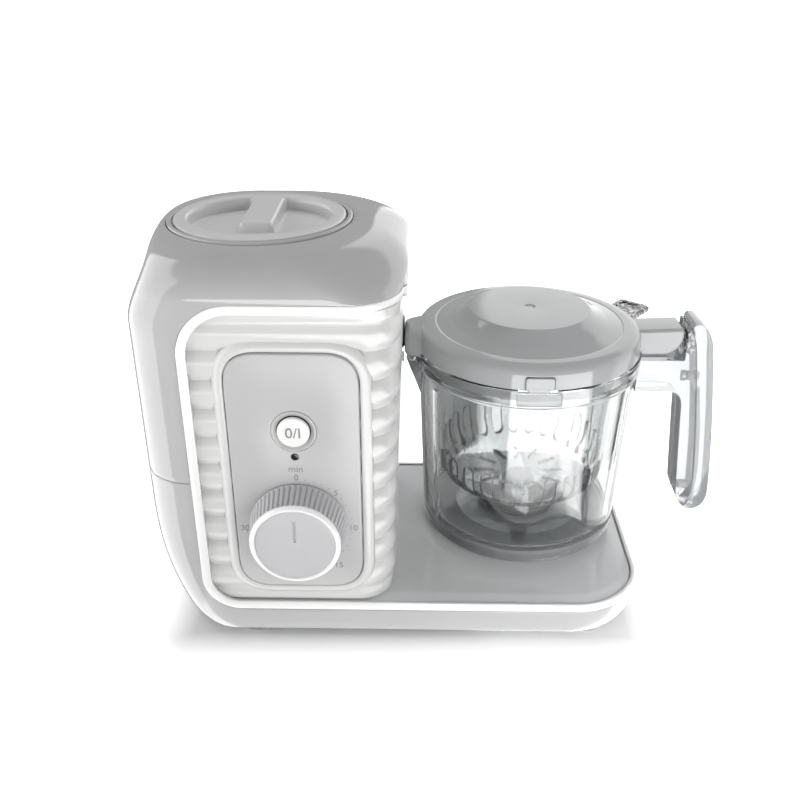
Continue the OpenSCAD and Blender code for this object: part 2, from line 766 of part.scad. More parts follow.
module tank_lid() color("darkgray") place() translate([tank_x, tank_y, 0]) difference() {
    rotate_extrude() polygon([[0, neck_z - 0.5], [plug_r, neck_z - 0.5], [plug_r, seal_z - 0.3],
        [plug_r - 2.2, seal_z - 0.3], [plug_r - 2.2, seal_z + 2.7], [plug_r, seal_z + 2.7],
        [plug_r, lid_top - lid_flange], [tank_lid_r, lid_top - lid_flange],
        [tank_lid_r, lid_top - 0.8], [tank_lid_r - 0.8, lid_top], [0, lid_top]]);
    translate([0, 0, lid_top - grip_depth]) linear_extrude(grip_depth + 1) difference() {
        polygon([for (i = [0:47]) [recess_r * cos(7.5 * i), recess_r * recess_squash * sin(7.5 * i)]]);
        translate([-grip_w / 2, -bar_reach + bar_r]) square([grip_w, bar_reach + recess_r]);
        translate([-grip_w / 2 + bar_r, -bar_reach]) square([grip_w - 2 * bar_r, bar_r + 1]);
        for (side = [-1, 1]) translate([side * (grip_w / 2 - bar_r), -bar_reach + bar_r])
            circle(bar_r);
    }
}

// ---- Motor ----

module motor_rotor() color("goldenrod") place() {
    rod(motor_x, motor_y, motor_r - 4, motor_z + 8, motor_z + motor_len - 10);
    rod(motor_x, motor_y, rotor_shaft_r, belt_z + belt_w, rotor_top);
}

module motor_pulley() color("silver") place() {
    rod(motor_x, motor_y, motor_pulley_r, belt_z - 0.5, belt_z + belt_w);
    rod(motor_x, motor_y, motor_pulley_r + 2, belt_z - 2, belt_z - 0.5);
}

// ---- Drive spindle ----

module drive_spindle() color("silver") place() rod(0, 0, spindle_r, belt_z + belt_w, dog_z);

module driven_pulley() color("silver") place() {
    rod(0, 0, driven_pulley_r, belt_z - 0.5, belt_z + belt_w);
    rod(0, 0, driven_pulley_r + 2, belt_z - 2, belt_z - 0.5);
}

module drive_dog() color("dimgray") place() {
    rod(0, 0, 5, dog_z, dog_z + dog_h);
    for (a = [0:90:270]) rotate(a) box(3, 8.5, -1.5, 1.5, dog_z, dog_z + dog_h);
}

// ---- Jar ----

module jar_body() color([0.85, 0.9, 0.92, 0.4]) place() {
    spout_r = 9;
    spout_h = 20;
    rotate_extrude() polygon([[foot_ring_r - jar_wall, 0], [foot_ring_r, 0],
        [jar_foot_r, 3], [jar_top_r, jar_h - 2], [rim_r, jar_h], [rim_r, rim_z],
        [rim_in, rim_z], [rim_in, jar_h], [jar_top_r - jar_wall, jar_h],
        [jar_foot_r - jar_wall, jar_floor_h], [7, jar_floor_h], [7, jar_floor_h + 1.5],
        [5, jar_floor_h + 1.5], [5, jar_floor_h - jar_wall],
        [foot_ring_r - jar_wall, jar_floor_h - jar_wall]]);
    for (a = [28, 152, 208, 332]) rotate(a)
        translate([jar_foot_r - jar_wall + 0.2, 0, jar_floor_h - 1])
            rotate([0, atan((jar_top_r - jar_foot_r) / jar_h), 0])
                cylinder(r = 2, h = jar_h - jar_floor_h - 5);
    difference() {
        translate([-jar_top_r + 2, 0, jar_h - spout_h]) cylinder(r1 = 1, r2 = spout_r, h = spout_h);
        rod(0, 0, jar_top_r - 1.5, jar_h - spout_h - 1, jar_h + 1);
    }
    rotate(-90) translate([rim_r, 0, jar_h + (rim_h + 3) / 2])
        cube([1.6, 21, rim_h - 3], center = true);
}

// Extrudes a side outline to the given width, half of it on each side of the jar's axis
module across(points, width) translate([0, width / 2, 0]) rotate([90, 0, 0])
    linear_extrude(width) polygon(points);

module handle_arm() color([0.85, 0.9, 0.92, 0.4]) place() {
    width = handle_w - 4;
    r = 12;
    difference() {
        across(concat([[grip_in, jar_h + 2.8], [jar_top_r - 1, jar_h + 2.8],
            [jar_top_r - 1, handle_arm_z]], [for (i = [0:6]) [grip_in - r + r * sin(15 * i),
            handle_arm_z - r + r * cos(15 * i)]]), width);
        rod(0, 0, rim_r + 0.05, jar_h - 2, jar_h + 9);
        rod(0, 0, jar_top_r, handle_arm_z - 1, jar_h);
    }
}

// Outer face of the handle at height z: it bows outwards and rounds off at both ends
function bow(z) = handle_reach - 14 * pow(max(0, z - bow_z) / (handle_top - bow_z), 2.05)
    - 2.2 * pow(max(0, bow_z - z) / (bow_z - grip_low), 2)
    - 5 * roll((z - handle_top + 6) / 6) - 9 * roll((grip_low + 7 - z) / 8);
// Inner face of the handle: it leans outwards below the arm and rounds off at the foot
function palm(z) = grip_in + 0.08 * max(0, handle_arm_z - 8 - z)
    + 14 * roll((grip_low + 15 - z) / 16);
// Seam between the grip and its outer cover
function seam(z) = max(palm(z) + 0.4, bow(z) - cover_t);

module handle_grip() color([0.85, 0.9, 0.92, 0.4]) place() {
    steps = 14;
    heights = [for (i = [0:steps]) grip_foot + (grip_top - grip_foot) * i / steps];
    shoulder = jar_h + 3.2;
    difference() {
        across(concat([for (z = heights) if (z < shoulder) [palm(z), z]],
            [[grip_in, shoulder], [grip_in - 1.7, shoulder], [grip_in - 1.7, grip_top]],
            [for (i = [steps:-1:0]) [seam(heights[i]), heights[i]]]), handle_w);
        for (z = handle_screw_heights) translate([palm(z) - 1, 0, z]) rotate([0, 90, 0])
            cylinder(r = screw_head_r + 0.3, h = 4);
    }
}

module handle_cover() color([0.75, 0.78, 0.8, 0.5]) place() {
    steps = 18;
    heights = [for (i = [0:steps]) grip_low + (handle_top - grip_low) * i / steps];
    across(concat([for (z = heights) [bow(z), z]],
        [for (i = [steps:-1:0]) let (z = heights[i])
            [z < grip_foot ? palm(z) : z > grip_top ? grip_in + 0.4 : seam(z) + 0.05, z]]), handle_w);
}

module handle_screws() color("silver") place() for (z = handle_screw_heights)
    translate([palm(z), 0, z]) rotate([0, 90, 0]) cylinder(r = screw_head_r, h = 3);

module blade_bush() color("peru") place()
    tube(blade_shaft_r + run_clear, 5, jar_floor_h - jar_wall, jar_floor_h + 1.5);

// ---- Blade unit ----

module blade_hub() color("dimgray") place() {
    rod(0, 0, blade_shaft_r, dog_z + dog_h + 0.5, hub_z);
    translate([0, 0, hub_z]) rotate_extrude()
        polygon([[0, 0], [hub_r, 0], [hub_r, hub_h - 2], [hub_r - 2, hub_h], [0, hub_h]]);
}

// One blade wing: a bevelled steel blade that rises towards its tip
module blade_wing(rise) rotate([0, -rise, 0]) difference() {
    linear_extrude(blade_t) polygon([[5, -5], [blade_reach - 6, -4], [blade_reach, 1],
        [blade_reach - 3, 3], [5, 5]]);
    translate([0, -5.2, 0]) rotate([30, 0, 0]) box(8, blade_reach + 1, -4, 4, 0.9, 4);
}

module blades() color("silver") place() difference() {
    union() {
        for (a = [0, 180]) rotate(a) translate([0, 0, blade_z]) blade_wing(6);
        for (a = [90, 270]) rotate(a) translate([0, 0, blade_z + 3]) blade_wing(-4);
        for (z = [blade_z, blade_z + 3]) rod(0, 0, hub_r + 1.5, z, z + blade_t);
    }
    rod(0, 0, hub_r + run_clear, blade_z - 3, blade_z + 9);
}

module blade_socket() color("dimgray") place() {
    z0 = dog_z + 0.4;
    z1 = jar_floor_h - jar_wall - 0.4;
    difference() {
        rod(0, 0, 12, z0, z1);
        rod(0, 0, 9.5, z0 - 1, dog_z + dog_h + 0.5);
        rod(0, 0, blade_shaft_r, z0 - 1, z1 + 1);
    }
    for (a = [45:90:315]) rotate(a) box(6, 10, -1.5, 1.5, z0, z1);
}

// ---- Steam basket ----

// Arc from the basket's floor up into its wall, or back down when it starts at step 5
function basket_bend(floor_r, bend, first = 0) = [for (k = [0:5]) let (i = abs(first - k))
    [floor_r + bend * sin(18 * i), basket_floor + bend * (1 - cos(18 * i))]];

module steam_basket() color([0.85, 0.9, 0.92, 0.4]) place() {
    top = jar_h;
    r2 = basket_top_r - 2;
    bend = 16;
    floor_r = r2 - bend;
    t = basket_wall;
    slot_r = 3.2;
    slot_low = basket_floor + 7;
    slot_high = basket_floor + 20;
    difference() {
        rotate_extrude() polygon(concat([[0, basket_floor]], basket_bend(floor_r, bend),
            [[basket_top_r, top], [rim_in - 0.4, top], [rim_in - 0.4, top + t],
             [basket_top_r - t, top + t]],
            [for (p = basket_bend(floor_r, bend - t, 5)) p + [0, t]], [[0, basket_floor + t]]));
        for (i = [0:basket_slots - 1]) rotate(360 * (i + 0.5) / basket_slots) {
            box(floor_r + 5, basket_top_r + 2, -slot_r, slot_r, slot_low, slot_high);
            for (z = [slot_low, slot_high]) translate([floor_r + 5, 0, z]) rotate([0, 90, 0])
                cylinder(r = slot_r, h = basket_top_r - floor_r - 3, $fn = 24);
        }
        for (i = [0:7]) rotate(45 * i)
            box(9, floor_r - 4, -1.6, 1.6, basket_floor - 1, basket_floor + t + 1);
    }
}

// ---- Jar lid ----

module lid_seal() color("white") place() tube(lid_plug_r + 0.3, rim_in - 0.3, jar_h + 3.4, jar_h + 6.4);

// Region of the lid's steam port: a nose towards the tower with a round end about the jar's axis
module port_nose(r, z0, z1) intersection() {
    round_r = 4;
    union() {
        box(-r - 1, 0, -port_half, port_half, z0, z1 - round_r);
        box(-r - 1, 0, -port_half + round_r, port_half - round_r, z0, z1);
        for (s = [-1, 1]) translate([-r - 1, s * (port_half - round_r), z1 - round_r])
            rotate([0, 90, 0]) cylinder(r = round_r, h = r + 1);
    }
    rod(0, 0, r, z0, z1);
}

module lid_body() color("darkgray") place() {
    t = lid_wall;
    foot_z = jar_h + 2.6;
    difference() {
        union() {
            rotate_extrude() polygon([[0, disc_z - 0.5], [2.2, disc_z - 0.5], [2.6, disc_z],
                [lid_disc_r, disc_z], [lid_disc_r + 9, disc_z - 5],
                [lid_r - 9, shoulder_z + 0.6], [lid_r - 4, shoulder_z], [lid_r - 1.3, shoulder_z - 1.8],
                [lid_r, shoulder_z - 4.5], [lid_r, lid_z], [rim_in - 2, lid_z],
                [rim_in - 2, lid_z - 0.3], [lid_plug_r, lid_z - 0.3], [lid_plug_r, foot_z],
                [lid_plug_r - t, foot_z], [lid_plug_r - t, shoulder_z - 4],
                [lid_disc_r + 9, disc_z - 5 - t], [lid_disc_r, disc_z - t], [0, disc_z - t]]);
            difference() {
                port_nose(port_reach, jar_h + 2.3, shoulder_z + 4.5);
                rod(0, 0, rim_r + 0.3, jar_h, lid_z);
                rod(0, 0, lid_r - 3, jar_h, disc_z + 9);
            }
            difference() {
                across(concat([[lid_r - 3, arm_top], [lid_r - 3, arm_z]],
                    [for (i = [0:5]) [arm_reach - arm_r + arm_r * sin(18 * i),
                        arm_z + arm_r * (1 - cos(18 * i))]],
                    [[arm_reach, arm_top - 1.5], [arm_reach - 1.5, arm_top]]), 2 * arm_half);
                rod(0, 0, rim_r + 0.3, jar_h, lid_z);
                rod(0, 0, lid_r - 2, jar_h, disc_z + 9);
            }
        }
        translate([-port_reach - 1, 0, port_z]) rotate([0, 90, 0]) cylinder(r = steam_r, h = 20);
        box(-5, 5, -lid_r - 1, -lid_r + 1.2, lid_z - 1, lid_z + 4);
    }
}

module lid_lock_tab() color("dimgray") place()
    box(-4.8, 4.8, -lid_r + 0.2 - 1, -lid_r + 1.2, lid_z + 1.6, lid_z + 3.8);

// Clear lifting tab at the back right of the lid
module lid_tab() color([0.8, 0.85, 0.88, 0.5]) place() difference() {
    translate([tab_r * cos(30), tab_r * sin(30), port_z]) rotate(51)
        translate([-tab_l, -tab_w / 2, 0]) cube([tab_l, tab_w, tab_t]);
    rod(0, 0, lid_r, lid_z, disc_z);
}

lower_shell();
bottom_plate();
rubber_feet();
bottom_screws();
deck_plate();
jar_seat();
upper_cover();
column_cover();
trim_strip();
rear_cover();
rear_screws();
cord_gland();
control_panel();
button_bezel();
indicator_lens();
timer_unit();
switch_unit();
circuit_board();
tank_collar();
water_tank();
feed_tube();
boiler();
steam_tube();
steam_outlet();
outlet_gasket();
interlock_switch();
motor_can();
motor_bracket();
drive_belt();
spindle_bearing();
dial_knob();
dial_ring();
dial_face();
dial_shaft();
power_button();
button_stem();
tank_seal();
tank_lid();
motor_rotor();
motor_pulley();
drive_spindle();
driven_pulley();
drive_dog();
jar_body();
handle_arm();
handle_grip();
handle_cover();
handle_screws();
blade_bush();
blade_hub();
blades();
blade_socket();
steam_basket();
lid_seal();
lid_body();
lid_lock_tab();
lid_tab();
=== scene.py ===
"""Looks of the steamer and blender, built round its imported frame.

Sizes are in millimetres from the jar's axis on top of the deck, as in the part's source.
at() turns such a point into metres in the shared frame.
"""

import math

import bmesh
import bpy
import numpy as np
from mathutils import Matrix, Vector


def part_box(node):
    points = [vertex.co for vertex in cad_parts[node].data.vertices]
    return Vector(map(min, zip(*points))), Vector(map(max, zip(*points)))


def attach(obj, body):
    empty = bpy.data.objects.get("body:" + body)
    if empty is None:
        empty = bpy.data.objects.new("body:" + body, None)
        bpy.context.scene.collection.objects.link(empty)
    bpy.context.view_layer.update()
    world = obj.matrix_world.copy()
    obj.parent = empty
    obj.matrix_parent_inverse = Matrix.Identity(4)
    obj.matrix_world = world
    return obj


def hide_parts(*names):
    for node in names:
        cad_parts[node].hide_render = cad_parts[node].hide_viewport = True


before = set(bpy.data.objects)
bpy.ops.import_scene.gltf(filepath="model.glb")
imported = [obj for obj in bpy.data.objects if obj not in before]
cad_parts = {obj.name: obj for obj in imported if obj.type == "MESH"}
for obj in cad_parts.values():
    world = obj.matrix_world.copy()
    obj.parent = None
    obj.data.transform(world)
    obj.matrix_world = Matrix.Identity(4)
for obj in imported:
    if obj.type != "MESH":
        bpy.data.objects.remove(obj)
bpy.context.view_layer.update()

# ---- Main sizes, the same as in the part's source ----

SHIFT = Vector((40.2, 20.7, 24.0))
FRONT, BACK, LEFT, CAP_X = -81.5, 50.0, -182.0, -58.5
MID_Y = (FRONT + BACK) / 2
SHELL_Z, SEAM_Z, WINDOW_TOP, CAP_Z = -18.5, 66.0, 152.0, 170.0
HEAD_RISE = CAP_Z - WINDOW_TOP
WINDOW_X, WINDOW_Z = -157.5, -5.0
TOP_CORNER, FOOT_CORNER = 24.0, 18.0
TOWER_R, COLUMN_R, BASE_R, CAP_R = 25.0, 18.0, 34.0, 44.25
BASE_END = 55.5
TANK = (-128.65, -15.75)
PANEL_X, PANEL_Y, PANEL_Z = -109.5, -81.6, 70.0
DIAL_Z, BUTTON_Z, LAMP_Z = 44.5, 93.5, 80.8
COLUMN_Y, COLUMN_BACK, COLUMN_TOP = -79.0, 47.5, 147.5
RIM_R, RIM_IN, JAR_H, RIM_Z = 56.7, 54.2, 93.0, 101.0

# ---- Sizes of the dressed pieces alone ----

SHELL_WALL, SHELL_EDGE, SEAM_GAP = 2.2, 0.3, 0.25
ROUND_STEPS, SMALL_STEPS, FINE_STEPS = 144, 32, 128
MERGE = 1e-6  # metres
SHARP = 35  # degrees


def at(x, y, z):
    """A point of the part, in metres."""
    return (Vector((x, y, z)) + SHIFT) / 1000


def clamp(t):
    """Holds a share between 0 and 1."""
    return min(1.0, max(0.0, t))


def smooth(t):
    """From 0 to 1 with a slow start and a slow end."""
    u = clamp(t)
    return u * u * (3 - 2 * u)


def roll(t):
    """From 0 to 1 along a quarter circle, slow at first and steep at the end."""
    u = clamp(t)
    return 1 - math.sqrt(1 - u * u)


def add_object(name, data):
    """Puts a mesh, text, lamp or camera into the scene."""
    made = bpy.data.objects.new(name, data)
    bpy.context.scene.collection.objects.link(made)
    return made


# ---- Camera ----

camera = add_object("camera", bpy.data.cameras.new("camera"))
camera.data.lens = 41.6
camera.data.sensor_width = 36
camera.data.shift_x = -0.002
camera.location = at(-55.88, -432.13, 290.2)
camera.rotation_euler = (math.radians(62.74), 0, math.radians(1.06))
bpy.context.scene.camera = camera

# ---- Materials ----


def linear(hex_colour):
    """An sRGB hex colour as linear RGBA."""
    values = [int(hex_colour[i : i + 2], 16) / 255 for i in (0, 2, 4)]
    return [c / 12.92 if c <= 0.04045 else ((c + 0.055) / 1.055) ** 2.4 for c in values] + [1.0]


def node(tree, kind, inputs=(), **settings):
    """Adds one node; inputs are (socket, value or output socket) pairs."""
    made = tree.nodes.new("ShaderNode" + kind)
    for key, value in settings.items():
        setattr(made, key, value)
    for socket, value in inputs:
        if isinstance(value, bpy.types.NodeSocket):
            tree.links.new(value, made.inputs[socket])
        else:
            made.inputs[socket].default_value = value
    return made


def new_material(name):
    """A material, its node tree and its Principled node."""
    material = bpy.data.materials.new(name)
    material.use_nodes = True
    tree = material.node_tree
    return material, tree, tree.nodes["Principled BSDF"]


def moulded(name, colour, roughness, grain_mm, depth_mm=0.02, shade=0.03, **extra):
    """Injection-moulded plastic: one even colour with a slight flow mottle, and a fine texture
    of the mould's steel in its gloss and bump. The real texture is finer than 0.1 mm, and
    grain_mm draws it as coarse as it needs to show."""
    material, tree, principled = new_material(name)
    place = node(tree, "TexCoord").outputs["Object"]
    # mottle of about 30 mm, as resin cools unevenly
    mottle = node(tree, "TexNoise", [("Vector", place), ("Scale", 1000 / 30), ("Detail", 3)])
    base = linear(colour)
    dark = [c * (1 - shade) for c in base[:3]] + [1]
    tint = node(tree, "ValToRGB", [("Fac", mottle.outputs["Fac"])])
    tint.color_ramp.elements[0].position = 0.35
    tint.color_ramp.elements[0].color = dark
    tint.color_ramp.elements[1].position = 0.65
    tint.color_ramp.elements[1].color = base
    grain = node(tree, "TexNoise", [("Vector", place), ("Scale", 1000 / grain_mm), ("Detail", 2)])
    gloss = node(tree, "MapRange", [("Value", grain.outputs["Fac"]), ("To Min", roughness * 0.85),
                                    ("To Max", roughness * 1.15)])
    bump = node(tree, "Bump", [("Strength", 0.4), ("Distance", depth_mm / 1000),
                               ("Height", grain.outputs["Fac"])])
    tree.links.new(tint.outputs["Color"], principled.inputs["Base Color"])
    tree.links.new(gloss.outputs["Result"], principled.inputs["Roughness"])
    tree.links.new(bump.outputs["Normal"], principled.inputs["Normal"])
    for socket, value in extra.items():
        principled.inputs[socket.replace("_", " ")].default_value = value
    return material


# tower: ABS from a polished mould, so reflections have clear edges
grey_abs = moulded("grey_gloss_abs", "B9B9BA", 0.07, 0.8, 0.002)
# column, panel lip, rear cover and water tank: gloss ABS, pale, with soft broad highlights
white_abs = moulded("white_gloss_abs", "D8D8D7", 0.2, 0.8, 0.004, shade=0.01)
# trim bead and dial rim: gloss ABS, the whitest surfaces of all
trim_abs = moulded("trim_white_abs", "F7F7F6", 0.18, 0.8, 0.003, shade=0.008)
# control panel: ABS from a spark-eroded mould, whose texture dulls it to satin
panel_abs = moulded("panel_satin_abs", "BFBFC0", 0.34, 0.5, 0.006)
# deck: gloss ABS that mirrors the foot of the jar a little blurred
deck_abs = moulded("deck_gloss_abs", "CCCDCE", 0.1, 0.8, 0.003)
# jar lid: ABS from a polished mould, a shade darker than the tower, with crisp highlights
lid_abs = moulded("lid_gloss_abs", "B2B3B4", 0.08, 0.8, 0.002)
# tank lid: satin ABS, paler than the head round it
tank_lid_abs = moulded("tank_lid_satin_abs", "D6D6D7", 0.22, 0.6, 0.003)
# dial: ABS from a spark-eroded mould, so its ridges show by soft shading
dial_abs = moulded("dial_satin_abs", "CACACC", 0.3, 0.5, 0.006)
# button: near-white ABS with a low gloss
button_abs = moulded("button_abs", "F2F2F0", 0.25, 0.6, 0.004, shade=0.01)
# blade hub, switches, couplings and bottom plate: satin ABS, almost black; the latch's gap takes it too, as
# painted shade
dark_abs_and_gap_shade = moulded("dark_satin_abs_and_gap_shade", "3A3B3D", 0.35, 0.6, 0.008)
# belt, cord gland, tank seal and outlet gasket: matt moulded rubber, black with faint mottle
black_rubber = moulded("black_rubber", "1E1E1F", 0.6, 0.4, 0.02, shade=0.15)
# feet: matt moulded rubber in grey
grey_rubber = moulded("grey_rubber_feet", "8E8E8E", 0.6, 0.4, 0.02, shade=0.1)
# lid seal and jar gasket: moulded silicone with a dull sheen; under the jar its grey also paints the dark
# band of shade at the foot
seal_rubber = moulded("grey_silicone_seal", "8C8D8F", 0.35, 0.5, 0.006)
# cut faces of the basket's slots: painted shade, drawn dark for the look that light gives the edge of a
# clear wall
painted_shade_slot_edge = moulded("slot_edges_painted_shade", "55575A", 0.3, 0.5, 0.004)
# core plate and screw bosses: plain ABS, a soft grey shape inside the handle
core_abs = moulded("core_plate_abs", "A3A4A6", 0.4, 0.6, 0.004)
# water and steam tubes: extruded silicone that lets a little light in
silicone = moulded("white_silicone", "D9D9D6", 0.45, 0.5, 0.008, Subsurface_Weight=0.15)
# indicator lamp when it is off: polished polycarbonate, nearly black with one sharp highlight
lens = moulded("lamp_lens", "1A1A1B", 0.08, 1.0, 0.001)
# scale: pad-printed ink, flat mid grey
ink = moulded("printed_ink", "8A8A8C", 0.5, 0.3, 0.002)
# circuit board: glass-fibre laminate under a green varnish
board_green = moulded("board_laminate", "1F5E36", 0.4, 0.6, 0.006)


def metal(name, colour, roughness, streak_mm, streaks=(1, 1, 1)):
    """Bare metal: its grain or its streaks change the gloss. Real brush lines are about
    0.05 mm wide, and streak_mm draws them as coarse as they need to show."""
    material, tree, principled = new_material(name)
    principled.inputs["Metallic"].default_value = 1
    principled.inputs["Base Color"].default_value = linear(colour)
    place = node(tree, "TexCoord").outputs["Object"]
    run = node(tree, "Mapping", [("Vector", place), ("Scale", streaks)])
    streak = node(tree, "TexNoise", [("Vector", run.outputs["Vector"]), ("Scale", 1000 / streak_mm),
                                     ("Detail", 3)])
    gloss = node(tree, "MapRange", [("Value", streak.outputs["Fac"]), ("To Min", roughness * 0.7),
                                    ("To Max", roughness * 1.3)])
    tree.links.new(gloss.outputs["Result"], principled.inputs["Roughness"])
    bump = node(tree, "Bump", [("Strength", 0.3), ("Distance", 0.00001),
                               ("Height", streak.outputs["Fac"])])
    tree.links.new(bump.outputs["Normal"], principled.inputs["Normal"])
    return material


# blades, outlet and spindle: brushed stainless steel, bright with long fine streaks
brushed_steel = metal("brushed_stainless_steel", "C4C6C8", 0.26, 0.6, (0.08, 1, 1))
# screws, switch and motor can: zinc-plated steel, a duller and cooler grey
zinc_steel = metal("zinc_plated_steel", "B4B7BA", 0.38, 0.8)
# boiler, bracket and motor pulley: die-cast aluminium, pale with blurred reflections
cast_aluminium = metal("cast_aluminium", "C9CBCD", 0.42, 1.2)
# bearing bushes: sintered bronze, brown and dull
bronze = metal("sintered_bronze", "A47A4A", 0.4, 0.6)
# motor rotor: wound copper wire, whose turns run as streaks along the axis
copper_wire = metal("wound_copper_wire", "B87333", 0.35, 0.5, (1, 1, 0.1))


def clear(name, colour, roughness, ior, ripple_mm, ripple_depth_mm=0.06, clearness=1.0, speckle=None):
    """Clear moulded plastic: light goes through and bends, with a faint ripple of the mould.
    A speckle is a second colour that fills the pattern of a patterned piece."""
    material, tree, principled = new_material(name)
    principled.inputs["Base Color"].default_value = linear(colour)
    principled.inputs["Transmission Weight"].default_value = clearness
    principled.inputs["IOR"].default_value = ior
    principled.inputs["Roughness"].default_value = roughness
    place = node(tree, "TexCoord").outputs["Object"]
    ripple = node(tree, "TexNoise", [("Vector", place), ("Scale", 1000 / ripple_mm), ("Detail", 1)])
    bump = node(tree, "Bump", [("Strength", 0.25), ("Distance", ripple_depth_mm / 1000),
                               ("Height", ripple.outputs["Fac"])])
    tree.links.new(bump.outputs["Normal"], principled.inputs["Normal"])
    if speckle:
        tint = node(tree, "ValToRGB", [("Fac", ripple.outputs["Fac"])])
        tint.color_ramp.elements[0].position = 0.52
        tint.color_ramp.elements[0].color = linear(colour)
        tint.color_ramp.elements[1].position = 0.56
        tint.color_ramp.elements[1].color = linear(speckle)
        tree.links.new(tint.outputs["Color"], principled.inputs["Base Color"])
    # light falls through clear plastic, so its shadow is pale
    through = node(tree, "BsdfTransparent", [("Color", linear("EDEEEE"))])
    path = node(tree, "LightPath")
    mix = node(tree, "MixShader", [(0, path.outputs["Is Shadow Ray"]),
                                   (1, principled.outputs["BSDF"]), (2, through.outputs["BSDF"])])
    tree.links.new(mix.outputs["Shader"], tree.nodes["Material Output"].inputs["Surface"])
    return material


# The index of these plastics is about 1.55. It is set lower, so that thick rims and double
# walls stay as light as the real ones look.
# jar: moulded copolyester, clear with long slow ripples
jar_clear = clear("clear_copolyester_jar", "E9EAEA", 0.02, 1.45, 22)
# basket: moulded copolyester with closer ripples, fainter than the jar round it
basket_clear = clear("clear_copolyester_basket", "E9EBEB", 0.05, 1.4, 12)
# handle grip: moulded copolyester with a grey body, so that its core shows only softly
handle_clear = clear("clear_copolyester_handle", "C3C6C8", 0.06, 1.45, 18, clearness=0.8)
# pad on the rim: polycarbonate from an etched mould, frosted and blurred
rim_frost = clear("frosted_polycarbonate", "E6E7E8", 0.25, 1.45, 10)
# back of the handle and spout: polycarbonate with a smoky body
handle_smoke = clear("smoky_polycarbonate", "CCCFD1", 0.1, 1.45, 10, clearness=0.7)
# lifting tab and handle catch: polycarbonate with a moulded pattern of about 2 mm, dark and light
tab_clear = clear("patterned_polycarbonate", "2E2F30", 0.08, 1.5, 1.7, 2.0, clearness=0.3,
                  speckle="EDEEEE")

# ---- Shaping ----


def spread(a, b, count):
    """count values at even steps from a to b."""
    return [a + (b - a) * i / (count - 1) for i in range(count)]


def arc(x, y, radius, start, stop, steps):
    """Points of a round corner, between two angles in radians."""
    return [(x + radius * math.cos(a), y + radius * math.sin(a)) for a in spread(start, stop, steps + 1)]


def resample(path, count):
    """count points at even steps along a path of points."""
    path = np.array(path, float)
    run = np.concatenate([[0], np.cumsum(np.linalg.norm(np.diff(path, axis=0), axis=1))])
    steps = np.linspace(0, run[-1], count)
    return np.stack([np.interp(steps, run, path[:, k]) for k in range(path.shape[1])], 1)


def soften(corners, closed=True, steps=6):
    """Outline through corners (x, y, cut): each corner is rounded off over its cut."""
    out = []
    n = len(corners)
    for i, corner in enumerate(corners):
        p = np.array(corner[:2], float)
        cut = corner[2] if len(corner) > 2 else 0
        if not cut or (not closed and i in (0, n - 1)):
            out.append(tuple(p))
            continue
        before = np.array(corners[i - 1][:2], float) - p
        after = np.array(corners[(i + 1) % n][:2], float) - p
        a = p + before * min(0.5, cut / np.linalg.norm(before))
        b = p + after * min(0.5, cut / np.linalg.norm(after))
        for k in range(steps + 1):
            t = k / steps
            out.append(tuple((1 - t) ** 2 * a + 2 * t * (1 - t) * p + t * t * b))
    return out


def skin(bm, rings, closed=True, lid_first=False, lid_last=False):
    """Draws the first ring of points and extrudes its edges through the other rings."""
    place = bm.verts.layers.int.get("place") or bm.verts.layers.int.new("place")
    verts = [bm.verts.new(at(*p)) for p in rings[0]]
    for i, v in enumerate(verts):
        v[place] = i
    edges = [bm.edges.new(pair) for pair in zip(verts, verts[1:])]
    if closed:
        edges.append(bm.edges.new((verts[-1], verts[0])))
    if lid_first:
        bm.faces.new(verts)
    for ring in rings[1:]:
        new = bmesh.ops.extrude_edge_only(bm, edges=edges)["geom"]
        verts = [g for g in new if isinstance(g, bmesh.types.BMVert)]
        fresh = set(verts)
        edges = [g for g in new if isinstance(g, bmesh.types.BMEdge) and set(g.verts) <= fresh]
        for v in verts:
            v.co = at(*ring[v[place]])
    if lid_last:
        bm.faces.new(sorted(verts, key=lambda v: v[place]))


def swing(bm, verts, angle, axis):
    """Turns vertices round an axis through the origin, by an angle in radians."""
    bmesh.ops.rotate(bm, verts=verts, cent=(0, 0, 0), matrix=Matrix.Rotation(angle, 3, axis))


def facing_front(x, y, z):
    """The place of a flat shape that faces the front."""
    return Matrix.Translation(at(x, y, z)) @ Matrix.Rotation(math.pi / 2, 4, "X")


def turn(profile, centre=(0, 0, 0), axis="Z", steps=96):
    """Spins a closed profile of (radius, height) round an axis through centre. The height runs
    along +Z, along -Y out of the front for "front", or along +X for "X"."""
    bm = bmesh.new()
    verts = [bm.verts.new((r / 1000, 0, h / 1000)) for r, h in profile]
    edges = [bm.edges.new(pair) for pair in zip(verts, verts[1:] + verts[:1])]
    bmesh.ops.spin(bm, geom=verts + edges, cent=(0, 0, 0), axis=(0, 0, 1),
                   angle=2 * math.pi, steps=steps, use_merge=True)
    bmesh.ops.remove_doubles(bm, verts=bm.verts, dist=MERGE)
    if axis == "front":
        swing(bm, bm.verts, math.pi / 2, "X")
    if axis == "X":
        swing(bm, bm.verts, math.pi / 2, "Y")
    bmesh.ops.translate(bm, verts=bm.verts, vec=at(*centre))
    return bm


def slab(outline, y0, y1, edge, segments=4):
    """An upright plate: an outline of (x, z) between two planes along Y, its rims rounded."""
    bm = bmesh.new()
    face = bm.faces.new([bm.verts.new(at(x, y0, z)) for x, z in outline])
    back = bmesh.ops.extrude_face_region(bm, geom=[face])["geom"]
    moved = [g for g in back if isinstance(g, bmesh.types.BMVert)]
    bmesh.ops.translate(bm, verts=moved, vec=(0, (y1 - y0) / 1000, 0))
    bmesh.ops.recalc_face_normals(bm, faces=bm.faces)
    if edge:
        rims = [e for e in bm.edges if abs(e.verts[0].co.y - e.verts[1].co.y) < MERGE / 10]
        bmesh.ops.bevel(bm, geom=rims, offset=edge / 1000, offset_type="OFFSET", affect="EDGES",
                        segments=segments, profile=0.5, material=-1, clamp_overlap=True)
    return bm


